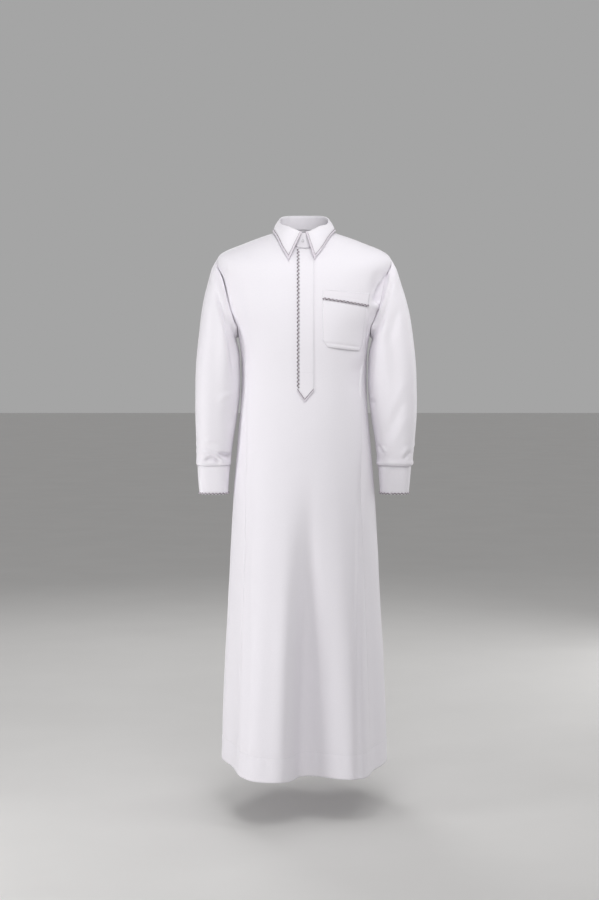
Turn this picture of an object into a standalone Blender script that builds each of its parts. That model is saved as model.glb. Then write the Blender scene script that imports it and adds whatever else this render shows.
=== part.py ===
"""A thobe: an ankle-length shirt robe, worn on a general figure and left hollow.

Metres, +Z up. The wearer faces -Y and their left is +X. The origin lies between the neck points
of the two shoulders, where the robe hangs on its wearer, in the plane of the side seams.

Each cut piece of cloth is a thin closed wall. Its outer face is a grid of points on one surface:
the torso's rings, the arm's rings or the collar's band. Pieces that are sewn together share the
points of their seam, so they keep an even gap there, and what lies on a piece is read from the
same surface, moved out.
"""

import math
from collections import defaultdict, namedtuple

import bmesh
import bpy
from mathutils import Matrix, Vector

# ---------------------------------------------------------------- driving sizes

LENGTH = 1.377            # neck point to hem
CHEST_HALF = 0.170        # half width under the arms
SHOULDER_HALF = 0.222     # half width at the tips of the shoulders
HEM_HALF = 0.219          # half width of the hem
COLLAR_HALF = 0.063       # half width of the collar at its fold

CLOTH = 0.0013            # wall of one layer of the shirting
FACED = 0.0018            # wall of the interfaced placket
SEAM = 0.0003             # gap between two pieces at a seam
LAY = 0.0006              # gap under what lies on another piece
TAPE = 0.0009             # thickness of the piping tape
TAPE_WIDTH = 0.0055
BRAID_WIDTH = 0.0042
BRAID_THICK = 0.0014
CUFF_CORD = 0.0014        # radius of the cord on the cuffs' lower edge
POCKET_CORD = 0.0019      # radius of the cord on the pocket
CORD_SIDES = 6

PLACE_STEP = 0.01         # small steps along the surfaces, from which their slopes are read
TURN_STEP = 0.5
PART_STEP = 0.02

# ---------------------------------------------------------------- the torso

# Its rings from the hem up to the neck seam: height at the sides, the centre front and the
# centre back, half width, depth forward and backward from the side plane, squareness (2 is an
# ellipse), the turn from the centre front at which the front panel ends, and the number of mesh
# rows up to the next ring.
Ring = namedtuple("Ring", "side_z front_z back_z half front back square seam steps")
RINGS = (
    Ring(-LENGTH, -LENGTH, -LENGTH, HEM_HALF, 0.232, 0.200, 2.00, 46, 4),
    Ring(-1.160, -1.160, -1.160, 0.212, 0.205, 0.184, 2.00, 48, 4),
    Ring(-0.930, -0.930, -0.930, 0.1985, 0.178, 0.166, 2.05, 50, 4),
    Ring(-0.700, -0.700, -0.700, 0.186, 0.151, 0.149, 2.10, 52, 3),
    Ring(-0.540, -0.540, -0.540, 0.1735, 0.130, 0.132, 2.15, 57, 3),
    Ring(-0.390, -0.390, -0.390, 0.1615, 0.115, 0.108, 2.20, 63, 3),
    Ring(-0.275, -0.275, -0.275, CHEST_HALF, 0.121, 0.113, 2.25, 70, 3),
    Ring(-0.195, -0.212, -0.200, 0.203, 0.121, 0.118, 2.30, 67, 3),
    Ring(-0.120, -0.158, -0.130, 0.217, 0.115, 0.115, 2.30, 70, 3),
    Ring(-0.062, -0.112, -0.072, SHOULDER_HALF, 0.107, 0.101, 2.25, 90, 3),
    Ring(-0.0255, -0.077, -0.022, 0.150, 0.096, 0.082, 2.10, 90, 3),
    Ring(0.002, -0.047, 0.012, 0.070, 0.082, 0.059, 2.00, 90, 1),
)
ARMPIT, TIP, NECK = 6, 9, 11
CORNER = ARMPIT + 1 / 3   # the mesh row at which the side seams meet the armhole
SCOOP = 0.28              # how far the armhole's foot dips below that, as a part of a ring step
CHEST = (7, 40)           # a place and turn on the chest

# The skirt's folds: turn at their middle, rise at the hem (a trough is below 0), half spread in
# degrees, and the height at which they start.
Fold = namedtuple("Fold", "turn rise spread top")
SKIRT_FOLDS = (
    Fold(-27, 0.047, 15, -0.52),
    Fold(9, -0.040, 12, -0.66),
    Fold(32, 0.040, 12, -0.55),
    Fold(-64, -0.013, 12, -0.60),
    Fold(52, -0.006, 7, -0.50),
    Fold(128, -0.014, 13, -0.66),
    Fold(152, 0.026, 14, -0.55),
    Fold(180, -0.026, 13, -0.70),
    Fold(-154, 0.030, 14, -0.58),
    Fold(-125, -0.012, 12, -0.66),
)
FOLD_GROWTH = 1.25        # how fast a fold deepens from its start down to the hem

FRONT_COLUMNS, BACK_COLUMNS, SIDE_COLUMNS = 20, 16, 6
SLIT_COLUMN = 10          # the column left open under the placket
SLIT_END = -0.350         # height at which the neck slit ends

# ---------------------------------------------------------------- the sleeves

# The arm's rings below the armhole: the outermost and innermost points of each tilted oval, half
# depth, how far forward its middle lies, squareness, and mesh rows to the next ring.
ArmRing = namedtuple("ArmRing", "outer_x outer_z inner_x inner_z depth forward square steps")
ARM_RINGS = (
    ArmRing(0.2395, -0.0930, 0.1765, -0.2745, 0.0650, 0.000, 2.15, 1),
    ArmRing(0.2525, -0.1350, 0.1750, -0.2840, 0.0690, 0.000, 2.10, 1),
    ArmRing(0.2645, -0.1800, 0.1720, -0.2950, 0.0710, 0.001, 2.15, 1),
    ArmRing(0.2745, -0.2350, 0.1692, -0.3080, 0.0715, 0.002, 2.15, 2),
    ArmRing(0.2835, -0.3150, 0.1672, -0.3400, 0.0700, 0.003, 2.10, 2),
    ArmRing(0.2875, -0.3950, 0.1672, -0.3980, 0.0665, 0.005, 2.10, 2),
    ArmRing(0.2880, -0.4700, 0.1740, -0.4700, 0.0620, 0.008, 2.10, 2),
    ArmRing(0.2835, -0.5450, 0.1855, -0.5450, 0.0560, 0.011, 2.10, 2),
    ArmRing(0.2815, -0.5900, 0.1905, -0.5900, 0.0500, 0.013, 2.15, 1),
    ArmRing(0.2805, -0.6000, 0.1912, -0.6000, 0.0455, 0.014, 2.20, 1),
)
CUFF_RINGS = (
    ArmRing(0.2785, -0.6040, 0.1930, -0.6040, 0.0425, 0.014, 2.20, 2),
    ArmRing(0.2760, -0.6400, 0.1960, -0.6400, 0.0400, 0.015, 2.20, 2),
    ArmRing(0.2725, -0.6775, 0.1985, -0.6775, 0.0370, 0.016, 2.20, 1),
)
EVEN_FROM = 4             # the ring from which the arm's columns are evenly spaced
FOLDS_FROM = 2            # the ring from which the arm's folds are at their full depth
FOOT_START = 137.0        # the angle round the arm at which the armhole's foot starts

# Each sleeve's own hang: the side it is on, and how much further out its outer line lies.
Hang = namedtuple("Hang", "side fullness")
SLEEVES = {"left": Hang(1, 0.0055), "right": Hang(-1, -0.0045)}
FULL_TOP, FULL_FOOT = -0.080, -0.640    # the fullness comes and goes between these heights,
FULL_TOP_FADE, FULL_FOOT_FADE = 0.22, 0.16      # over these lengths

# Large folds of the sleeves: angle round the arm from its outermost line through the front, rise,
# half spread in degrees, the height of the middle and half the length.
SleeveFold = namedtuple("SleeveFold", "angle rise spread middle reach")
SLEEVE_FOLDS = {
    "left": (
        SleeveFold(116, 0.0060, 15, -0.285, 0.070),
        SleeveFold(88, -0.0050, 15, -0.270, 0.095),
        SleeveFold(60, 0.0045, 18, -0.380, 0.110),
        SleeveFold(120, -0.0045, 18, -0.500, 0.060),
        SleeveFold(250, -0.0055, 20, -0.260, 0.100),
        SleeveFold(285, 0.0050, 20, -0.360, 0.110),
    ),
    "right": (
        SleeveFold(112, 0.0055, 15, -0.275, 0.075),
        SleeveFold(84, -0.0050, 15, -0.240, 0.110),
        SleeveFold(65, 0.0040, 18, -0.470, 0.080),
        SleeveFold(130, -0.0040, 18, -0.430, 0.070),
        SleeveFold(246, -0.0050, 20, -0.280, 0.110),
        SleeveFold(280, 0.0045, 20, -0.400, 0.110),
    ),
}

# ---------------------------------------------------------------- the collar

FOLD_FRONT = 0.075        # depth of the collar's fold line before the side plane
FOLD_BACK = 0.055
FOLD_SIDE_Z = 0.030       # height of the stand's upper edge at the sides
FOLD_SLOPE = 0.50         # its rise towards the back, and its fall towards the front
FOLD_LEVEL = 0.050        # height at which it levels out
COLLAR_STEP = 9           # degrees between the collar's columns
STAND_OVERLAP = 18        # degrees by which each end of the stand passes the centre front
STAND_ROWS = 3
UNDER_LAP = 0.0022        # how far inside the end under the button lies
LAP_EASE = 36             # degrees over which that end moves inward

ROLL = 0.0023             # outer radius of the leaf's roll over the stand
ROLL_ROWS = 3
LEAF_ROWS = 4
LEAF_ENDS = (4.5, 353.5)  # turns at which the leaf's two front edges start
LEAF_LIFT = 0.0036        # gap under the leaf's outer edge
LEAF_BULGE = 0.0025       # how far the leaf bows outward at half its depth
# The leaf's outer edge seen from above, every 45 degrees from its point to the centre back.
EdgeRow = namedtuple("EdgeRow", "across forward")
LEAF_EDGE = (
    EdgeRow(0.0318, 0.0965),
    EdgeRow(0.0570, 0.0700),
    EdgeRow(0.0785, 0.0100),
    EdgeRow(0.0585, -0.0540),
    EdgeRow(0.0000, -0.0800),
)
LEAF_SWAY = -0.0068       # both collar points lie this far to the wearer's right
SHOULDER_ROW = 10.5       # the torso's place under the leaf's outer edge, near enough to start from
# The piping's columns along the leaf's front edges, as parts of its depth, and the room in degrees
# that its mitres at the points need.
PIPING_PARTS = (0.03, 0.28, 0.52, 0.76)
MITRE_PART = 0.9
MITRE_ROOM = 3

BUTTON_RADIUS = 0.0040
BUTTON_THICK = 0.0018
BUTTON_TURN = -3.0
BUTTON_HEIGHT = 0.47      # as a part of the stand's height

# ---------------------------------------------------------------- placket and pocket

PLACKET_LEFT, PLACKET_RIGHT = -0.0185, 0.0245
PLACKET_MIDDLE = 0.0010
PLACKET_TOP = -0.0490
PLACKET_CORNER = -0.4110
PLACKET_TIP = -0.4390
PLACKET_COLUMNS = 4
PLACKET_ROWS = 17
POINT_TAPE_HEIGHT = 0.0085

# The pocket's lines from its lower edge up: left and right end of each, and its puff.
PocketLine = namedtuple("PocketLine", "left_x left_z right_x right_z puff")
POCKET_LINES = (
    PocketLine(0.0590, -0.2985, 0.1405, -0.3080, 0.0022),
    PocketLine(0.0465, -0.2820, 0.1480, -0.2930, 0.0034),
    PocketLine(0.0460, -0.2470, 0.1515, -0.2600, 0.0030),
    PocketLine(0.0457, -0.2120, 0.1550, -0.2275, 0.0024),
    PocketLine(0.0455, -0.1762, 0.1585, -0.1932, 0.0014),
)
BAND_LINES = (
    PocketLine(0.0455, -0.1755, 0.1640, -0.1921, 0.0014),
    PocketLine(0.0463, -0.1645, 0.1655, -0.1765, 0.0010),
    PocketLine(0.0470, -0.1535, 0.1670, -0.1614, 0.0006),
)
CORD_LINE = PocketLine(0.0460, -0.1759, 0.1635, -0.1926, 0.0014)
POCKET_COLUMNS = 8
CORD_COLUMNS = 12
PUFF_SHAPE = 0.7          # below 1, the puff is flatter in the middle

WHITE = (0.83, 0.83, 0.87)
GREY = (0.36, 0.34, 0.40)


# ---------------------------------------------------------------- tables and surfaces

def blend(table, place):
    """The values of a table read between two of its rows, on a smooth curve through them."""
    low = max(0, min(int(place), len(table) - 2))
    part = place - low
    before = table[max(low - 1, 0)]
    start = table[low]
    end = table[low + 1]
    after = table[min(low + 2, len(table) - 1)]
    values = []
    for a, b, c, d in zip(before, start, end, after):
        curve = (2 * b, c - a, 2 * a - 5 * b + 4 * c - d, 3 * b - a - 3 * c + d)
        values.append(0.5 * sum(factor * part ** power for power, factor in enumerate(curve)))
    return type(start)(*values)


def mesh_places(table):
    """The places of the mesh rows in a table whose rows name their steps."""
    places = []
    for index, row in enumerate(table[:-1]):
        places += [index + step / row.steps for step in range(row.steps)]
    return places + [len(table) - 1]


def ease(value):
    """0 below 0, 1 above 1 and a soft rise between."""
    part = max(0.0, min(1.0, value))
    return part * part * (3 - 2 * part)


def bell(distance, spread):
    return math.exp(-0.5 * (distance / spread) ** 2)


def apart(turn, other):
    """The signed angle in degrees between two turns."""
    return (turn - other + 180) % 360 - 180


def skirt_fold(turn, height):
    """How far the skirt's folds move the cloth out at one place."""
    total = 0.0
    for fold in SKIRT_FOLDS:
        drop = max(0.0, (fold.top - height) / (fold.top + LENGTH))
        total += fold.rise * drop ** FOLD_GROWTH * bell(apart(turn, fold.turn), fold.spread)
    return total


def torso(place, turn):
    """A point on the torso's outer face. Turn 0 is the centre front, 90 the wearer's left."""
    ring = blend(RINGS, place)
    across = math.sin(math.radians(turn))
    ahead = math.cos(math.radians(turn))
    swell = (abs(across) ** ring.square + abs(ahead) ** ring.square) ** (-1 / ring.square)
    depth = ring.front if ahead > 0 else ring.back
    middle_z = ring.front_z if ahead > 0 else ring.back_z
    height = middle_z + (ring.side_z - middle_z) * min(1.0, abs(across) * swell) ** 2
    fold = skirt_fold(turn, height)
    return Vector(((ring.half + fold) * swell * across, -(depth + fold) * swell * ahead, height))


def surface_normal(surface, first, second, first_step, second_step):
    """The outward unit normal of a surface whose second value turns and whose first rises."""
    rise = surface(first + first_step, second) - surface(first - first_step, second)
    turn = surface(first, second + second_step) - surface(first, second - second_step)
    return turn.cross(rise).normalized()


def torso_normal(place, turn):
    inside = min(place, NECK - 2 * PLACE_STEP)
    return surface_normal(torso, inside, turn, PLACE_STEP, TURN_STEP)


def find_on_torso(goal, axes, place, turn, rounds=25, place_limit=0.5, turn_limit=10.0):
    """The place and turn at which the torso has the goal's two coordinates, by Newton's method."""
    for _ in range(rounds):
        here = torso(place, turn)
        by_place = (torso(place + PLACE_STEP / 10, turn) - here) * 10 / PLACE_STEP
        by_turn = (torso(place, turn + TURN_STEP / 10) - here) * 10 / TURN_STEP
        miss = [goal[0] - here[axes[0]], goal[1] - here[axes[1]]]
        a, b = by_place[axes[0]], by_turn[axes[0]]
        c, d = by_place[axes[1]], by_turn[axes[1]]
        area = a * d - b * c
        more_place = (miss[0] * d - b * miss[1]) / area
        more_turn = (a * miss[1] - miss[0] * c) / area
        place += max(-place_limit, min(place_limit, more_place))
        turn += max(-turn_limit, min(turn_limit, more_turn))
        place = min(place, NECK)
    return place, turn


def on_front(across, height, lift):
    """A point above the front panel, seen from the front at one place."""
    guess = math.degrees(across / CHEST_HALF)
    place, turn = find_on_torso((across, height), (0, 2), CHEST[0], guess)
    return torso(place, turn) + torso_normal(place, turn) * lift


# ---------------------------------------------------------------- cut pieces

class Piece:
    """A cut piece of cloth: rows and columns of points on its outer face, and their normals."""

    def __init__(self, name, rows, closed=False, wall=CLOTH, colour=WHITE, left_out=()):
        self.name = name
        self.rows = rows
        self.closed = closed
        self.wall = wall
        self.colour = colour
        self.left_out = set(left_out)
        self.normals = [
            [self.normal(row, column) for column in range(len(rows[0]))] for row in range(len(rows))
        ]

    def normal(self, row, column):
        last_row, count = len(self.rows) - 1, len(self.rows[0])
        rise = self.rows[min(row + 1, last_row)][column] - self.rows[max(row - 1, 0)][column]
        if self.closed:
            after, before = (column + 1) % count, (column - 1) % count
        else:
            after, before = min(column + 1, count - 1), max(column - 1, 0)
        return (self.rows[row][after] - self.rows[row][before]).cross(rise).normalized()

    def outlines(self):
        """The outline's points in order: two rings on a tube, otherwise one loop."""
        last_row, last_column = len(self.rows) - 1, len(self.rows[0]) - 1
        low = [(0, column) for column in range(last_column + 1)]
        high = [(last_row, column) for column in range(last_column + 1)]
        if self.closed:
            return [low, high]
        right = [(row, last_column) for row in range(1, last_row)]
        left = [(row, 0) for row in range(1, last_row)]
        return [low + right + high[::-1] + left[::-1]]

    def key(self, spot):
        return tuple(round(value, 5) for value in self.rows[spot[0]][spot[1]])

    def inward_step(self, row, column):
        """The way from an outline point into its own piece, one unit for each edge it is on."""
        last_row, last_column = len(self.rows) - 1, len(self.rows[0]) - 1
        here = self.rows[row][column]
        step = Vector((0, 0, 0))
        if row in (0, last_row):
            step += (self.rows[1 if row == 0 else row - 1][column] - here).normalized()
        if not self.closed and column in (0, last_column):
            step += (self.rows[row][1 if column == 0 else column - 1] - here).normalized()
        return step


def sew(pieces):
    """Gives the points of each seam one common wall direction, and parts the pieces there."""
    met = defaultdict(lambda: Vector((0, 0, 0)))
    evened = defaultdict(lambda: Vector((0, 0, 0)))
    for piece in pieces:
        for loop in piece.outlines():
            for row, column in loop:
                met[piece.key((row, column))] += piece.normals[row][column]
    for piece in pieces:
        for loop in piece.outlines():
            for spot, following in zip(loop, loop[1:] + loop[:1]):
                here, there = piece.key(spot), piece.key(following)
                evened[here] += met[here].normalized() + met[there].normalized()
                evened[there] += met[there].normalized() + met[here].normalized()
    for piece in pieces:
        moves = []
        for row, column in sum(piece.outlines(), []):
            piece.normals[row][column] = evened[piece.key((row, column))].normalized()
            moves.append((row, column, piece.inward_step(row, column) * SEAM / 2))
        for row, column, move in moves:
            piece.rows[row][column] = piece.rows[row][column] + move


def material(name, colour, roughness):
    made = bpy.data.materials.new(name)
    made.use_nodes = True
    shader = made.node_tree.nodes["Principled BSDF"]
    shader.inputs["Base Color"].default_value = (*colour, 1)
    shader.inputs["Roughness"].default_value = roughness
    shader.inputs["Metallic"].default_value = 0.0
    return made


def add_object(name, bm, colour, roughness=0.75):
    bmesh.ops.recalc_face_normals(bm, faces=bm.faces)
    mesh = bpy.data.meshes.new(name)
    bm.to_mesh(mesh)
    bm.free()
    mesh.shade_smooth()
    mesh.set_sharp_from_angle(angle=math.radians(50))
    made = bpy.data.objects.new(name, mesh)
    bpy.context.scene.collection.objects.link(made)
    mesh.materials.append(material(name, colour, roughness))
    return made


def make_wall(piece):
    """Builds the piece as a closed wall: its outer face, the same face moved in, and the rim."""
    bm = bmesh.new()
    inward = bm.verts.layers.float_vector.new("inward")
    down, along = len(piece.rows) - 1, len(piece.rows[0]) - (0 if piece.closed else 1)
    bmesh.ops.create_grid(bm, x_segments=along, y_segments=down, size=0.5)
    unused = []
    for face in bm.faces:
        middle = face.calc_center_median()
        spot = (int((middle.y + 0.5) * down), int((middle.x + 0.5) * along))
        if spot in piece.left_out:
            unused.append(face)
    for vert in bm.verts:
        row = round((vert.co.y + 0.5) * down)
        column = round((vert.co.x + 0.5) * along) % len(piece.rows[0])
        vert.co = piece.rows[row][column]
        vert[inward] = -piece.normals[row][column]
    bmesh.ops.delete(bm, geom=unused, context="FACES_ONLY")
    if piece.closed:
        bmesh.ops.remove_doubles(bm, verts=bm.verts, dist=1e-6)
    made = bmesh.ops.extrude_face_region(bm, geom=bm.faces[:], use_keep_orig=True)
    moved = {item for item in made["geom"] if isinstance(item, bmesh.types.BMVert)}
    for vert in moved:
        vert.co += Vector(vert[inward]) * piece.wall
    rim = [face for face in bm.faces if 0 < len(moved.intersection(face.verts)) < 4]
    bmesh.ops.triangulate(bm, faces=rim, quad_method="SHORT_EDGE")
    return add_object(piece.name, bm, piece.colour)


def make_cord(name, route, normals, radius, closed):
    """A cord: a ring of points at each point of its route, bridged from one to the next."""
    bm = bmesh.new()
    rings = []
    count = len(route)
    for index, middle in enumerate(route):
        after = route[(index + 1) % count] if closed else route[min(index + 1, count - 1)]
        before = route[(index - 1) % count] if closed else route[max(index - 1, 0)]
        along = (after - before).normalized()
        out = (normals[index] - along * normals[index].dot(along)).normalized()
        turned = Matrix((along.cross(out), out, along)).transposed().to_4x4()
        turned.translation = middle
        ring = bmesh.ops.create_circle(bm, segments=CORD_SIDES, radius=radius, matrix=turned)
        rings.append(ring["verts"])
    pairs = list(zip(rings, rings[1:]))
    if closed:
        pairs.append((rings[-1], rings[0]))
    else:
        bm.faces.new(rings[0])
        bm.faces.new(rings[-1])
    for low, high in pairs:
        for side in range(CORD_SIDES):
            following = (side + 1) % CORD_SIDES
            bm.faces.new((low[side], low[following], high[following], high[side]))
    return add_object(name, bm, GREY)


# ---------------------------------------------------------------- torso pieces

TORSO_PLACES = mesh_places(RINGS)
LOWER_PLACES = [place for place in TORSO_PLACES if place < CORNER + 0.01]
ARMHOLE_PLACES = [place for place in TORSO_PLACES if CORNER - 0.01 < place <= TIP]


def seam_turn(place):
    """The turn at which the front panel ends: the side seam, the armhole or the shoulder seam."""
    return 90.0 if place >= TIP else blend(RINGS, place).seam


def torso_piece(name, places, columns, edges, left_out=()):
    """A panel of the torso between the two turns that edges gives for each place."""
    rows = []
    for place in places:
        start, end = edges(place)
        turns = [start + (end - start) * column / columns for column in range(columns + 1)]
        rows.append([torso(place, turn) for turn in turns])
    return Piece(name, rows, left_out=left_out)


def front_panel():
    """The front, with its neck slit under the placket."""
    slit = []
    for row, place in enumerate(TORSO_PLACES[:-1]):
        if torso(place, 0).z > SLIT_END:
            slit.append((row, SLIT_COLUMN))

    def edges(place):
        return -seam_turn(place), seam_turn(place)

    return torso_piece("front", TORSO_PLACES, FRONT_COLUMNS, edges, slit)


def back_panel():
    def edges(place):
        return 180 - seam_turn(place), 180 + seam_turn(place)

    return torso_piece("back", TORSO_PLACES, BACK_COLUMNS, edges)


def handed(rows, side):
    """Keeps the columns of a mirrored piece running the same way round."""
    if side > 0:
        return rows
    return [list(reversed(row)) for row in rows]


def side_row(place, side):
    """One row of a side panel. Its upper rows dip in the middle, into the armhole's foot."""
    seam = seam_turn(place)
    dip = SCOOP * ease(place - CORNER + 1)
    points = []
    for column in range(SIDE_COLUMNS + 1):
        out = 2 * column / SIDE_COLUMNS - 1
        turn = 90 + out * (90 - seam)
        points.append(torso(place - dip * (1 - out * out), side * turn))
    return points


def side_panel(name, side):
    """The gore between front and back, from the armhole's foot to the hem."""
    return Piece(name, handed([side_row(place, side) for place in LOWER_PLACES], side))


# ---------------------------------------------------------------- sleeves and cuffs

def armhole(side):
    """The armhole's points: from the shoulder's tip down the front, under the arm and up the back."""
    front = [torso(place, side * seam_turn(place)) for place in reversed(ARMHOLE_PLACES)]
    foot = side_row(ARMHOLE_PLACES[0], side)[1:-1]
    back = [torso(place, side * (180 - seam_turn(place))) for place in ARMHOLE_PLACES[:-1]]
    return front + foot + back


def arm_angles(place):
    """The angles round the arm of its columns, crowded under the arm near the armhole."""
    down = len(ARMHOLE_PLACES) - 1
    columns = 2 * down + SIDE_COLUMNS
    crowded = [FOOT_START * step / down for step in range(down)]
    foot_span = 360 - 2 * FOOT_START
    crowded += [FOOT_START + foot_span * step / SIDE_COLUMNS for step in range(SIDE_COLUMNS)]
    crowded += [360 - FOOT_START * (down - step) / down for step in range(down)]
    part = ease(place / EVEN_FROM)
    return [
        angle + (360 * index / columns - angle) * part for index, angle in enumerate(crowded)
    ]


def sleeve_fold(name, angle, height):
    total = 0.0
    for fold in SLEEVE_FOLDS[name]:
        length = bell(height - fold.middle, fold.reach)
        total += fold.rise * length * bell(apart(angle, fold.angle), fold.spread)
    return total


def arm_ring(table, place, name, angles):
    """One oval of points round the arm."""
    ring = blend(table, place)
    hang = SLEEVES[name]
    come = ease((FULL_TOP - ring.outer_z) / FULL_TOP_FADE)
    gone = ease((ring.outer_z - FULL_FOOT) / FULL_FOOT_FADE)
    outer_x = ring.outer_x + hang.fullness * come * gone
    points = []
    for angle in angles:
        outward = math.cos(math.radians(angle))
        ahead = math.sin(math.radians(angle))
        swell = (abs(outward) ** ring.square + abs(ahead) ** ring.square) ** (-1 / ring.square)
        middle_z = (ring.outer_z + ring.inner_z) / 2
        height = middle_z + (ring.outer_z - ring.inner_z) / 2 * swell * outward
        fold = 0.0
        if table is ARM_RINGS:
            fold = sleeve_fold(name, angle, height) * ease(place / FOLDS_FROM)
        half = (outer_x - ring.inner_x) / 2
        across = (outer_x + ring.inner_x) / 2 + (half + fold * abs(outward)) * swell * outward
        depth = -ring.forward - (ring.depth + fold) * swell * ahead
        points.append(Vector((hang.side * across, depth, height)))
    return points


def sleeve(name):
    side = SLEEVES[name].side
    rows = [armhole(side)]
    for place in mesh_places(ARM_RINGS):
        rows.append(arm_ring(ARM_RINGS, place, name, arm_angles(place)))
    rows.append(arm_ring(CUFF_RINGS, 0, name, arm_angles(EVEN_FROM)))
    return Piece(f"sleeve_{name}", handed(rows, side), closed=True)


def cuff(name):
    rows = [
        arm_ring(CUFF_RINGS, place, name, arm_angles(EVEN_FROM)) for place in mesh_places(CUFF_RINGS)
    ]
    return Piece(f"cuff_{name}", handed(rows, SLEEVES[name].side), closed=True)


def cuff_cord(name, made_cuff):
    """The cord sewn round the cuff's lower edge."""
    lift = CUFF_CORD + LAY
    route, normals = [], []
    for point, normal in zip(made_cuff.rows[-1], made_cuff.normals[-1]):
        route.append(point + normal * lift + Vector((0, 0, CUFF_CORD)))
        normals.append(normal)
    return make_cord(f"cuff_cord_{name}", route, normals, CUFF_CORD, closed=True)


# ---------------------------------------------------------------- collar

def fold_line(turn):
    """The upper edge of the stand."""
    across = math.sin(math.radians(turn))
    ahead = math.cos(math.radians(turn))
    depth = FOLD_FRONT if ahead > 0 else FOLD_BACK
    behind = -depth * ahead
    rise = FOLD_SIDE_Z + FOLD_SLOPE * behind
    levelled = FOLD_LEVEL - FOLD_SIDE_Z
    if behind > 0:
        rise = FOLD_SIDE_Z + levelled * math.tanh(FOLD_SLOPE * behind / levelled)
    return Vector((COLLAR_HALF * across, behind, rise))


def stand_surface(part, turn):
    """A point of the stand's outer face: part is 0 at the neck seam and 1 at its upper edge."""
    return torso(NECK, turn).lerp(fold_line(turn), part)


def stand_normal(part, turn):
    return surface_normal(stand_surface, part, turn, PART_STEP, TURN_STEP)


def collar_stand():
    """The band round the neck. Its end under the button passes inside the other one."""
    first, last = -STAND_OVERLAP, 360 + STAND_OVERLAP
    turns = range(first, last + COLLAR_STEP, COLLAR_STEP)
    rows = []
    for row in range(STAND_ROWS + 1):
        part = row / STAND_ROWS
        line = []
        for turn in turns:
            inside = UNDER_LAP * ease((turn - last + 2 * STAND_OVERLAP + LAP_EASE) / LAP_EASE)
            line.append(stand_surface(part, turn) - stand_normal(part, turn) * inside)
        rows.append(line)
    return Piece("collar_stand", rows)


def leaf_turns():
    start, end = LEAF_ENDS
    inner = range(COLLAR_STEP, 360, COLLAR_STEP)
    return [start] + list(inner) + [end]


def leaf_edge(turn):
    """The leaf's outer edge, above the shoulders."""
    start, end = LEAF_ENDS
    side = 1 if turn <= 180 else -1
    from_point = (turn - start) / (180 - start) if side > 0 else (end - turn) / (end - 180)
    row = blend(LEAF_EDGE, from_point * (len(LEAF_EDGE) - 1))
    sway = LEAF_SWAY * max(0.0, 1 - 2 * from_point)
    goal = (side * row.across + sway, -row.forward)
    guess = turn if side > 0 else turn - 360
    place, body_turn = find_on_torso(goal, (0, 1), SHOULDER_ROW, guess)
    return torso(place, body_turn) + torso_normal(place, body_turn) * (LEAF_LIFT + CLOTH)


def leaf_surface(part, turn):
    """The leaf's upper face outside its roll: part is 0 at the roll and 1 at the outer edge."""
    normal = stand_normal(1, turn)
    start = fold_line(turn) + normal * (2 * ROLL - CLOTH)
    end = leaf_edge(turn)
    bow = LEAF_BULGE * math.sin(math.pi * part)
    return start.lerp(end, part) + normal * bow


def collar_leaf():
    """The turned-down leaf: it rolls over the stand's upper edge and lies towards the shoulders."""
    rows, outward = [], []
    for step in range(ROLL_ROWS + 1):
        angle = math.pi * (1 - step / ROLL_ROWS)
        line, ways = [], []
        for turn in leaf_turns():
            normal = stand_normal(1, turn)
            rise = (fold_line(turn) - stand_surface(0, turn)).normalized()
            middle = fold_line(turn) + normal * (ROLL - CLOTH) + rise * SEAM
            ways.append(normal * math.cos(angle) + rise * math.sin(angle))
            line.append(middle + ways[-1] * ROLL)
        rows.append(line)
        outward.append(ways)
    for step in range(1, LEAF_ROWS + 1):
        rows.append([leaf_surface(step / LEAF_ROWS, turn) for turn in leaf_turns()])
    leaf = Piece("collar_leaf", handed(rows, -1))
    leaf.normals[: ROLL_ROWS + 1] = handed(outward, -1)
    return leaf


def leaf_normal(part, turn):
    return -surface_normal(leaf_surface, part, turn, PART_STEP, TURN_STEP)


def above_leaf(part, turn):
    """A point on the underside of what lies on the leaf."""
    return leaf_surface(part, turn) + leaf_normal(part, turn) * (LAY + TAPE)


def tape_turn(part, end):
    """The degrees that the tape covers along the leaf's front edge."""
    before, after = end - TURN_STEP, end + TURN_STEP
    across = (leaf_surface(part, after) - leaf_surface(part, before)) / (2 * TURN_STEP)
    along = leaf_surface(part + PART_STEP, end) - leaf_surface(part - PART_STEP, end)
    along.normalize()
    return TAPE_WIDTH / (across - along * across.dot(along)).length


def tape_part(turn):
    """The part of the leaf's depth that the tape covers along its outer edge."""
    down = (leaf_surface(1, turn) - leaf_surface(1 - PART_STEP, turn)) / PART_STEP
    along = leaf_surface(1, turn + TURN_STEP) - leaf_surface(1, turn - TURN_STEP)
    along.normalize()
    return TAPE_WIDTH / (down - along * down.dot(along)).length


def collar_piping():
    """The tape along the leaf's front edges and its outer edge, mitred at both points."""
    start, end = LEAF_ENDS
    first, last = start + tape_turn(MITRE_PART, start), end - tape_turn(MITRE_PART, end)
    outer, inner = [], []
    for part in PIPING_PARTS:
        outer.append(above_leaf(part, start))
        inner.append(above_leaf(part * (1 - tape_part(first)), start + tape_turn(part, start)))
    outer.append(above_leaf(1, start))
    inner.append(above_leaf(1 - tape_part(first), first))
    for turn in leaf_turns():
        if first + MITRE_ROOM < turn < last - MITRE_ROOM:
            outer.append(above_leaf(1, turn))
            inner.append(above_leaf(1 - tape_part(turn), turn))
    outer.append(above_leaf(1, end))
    inner.append(above_leaf(1 - tape_part(last), last))
    for part in reversed(PIPING_PARTS):
        outer.append(above_leaf(part, end))
        inner.append(above_leaf(part * (1 - tape_part(last)), end - tape_turn(part, end)))
    return Piece("collar_piping", [outer, inner], wall=TAPE, colour=GREY)


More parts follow.
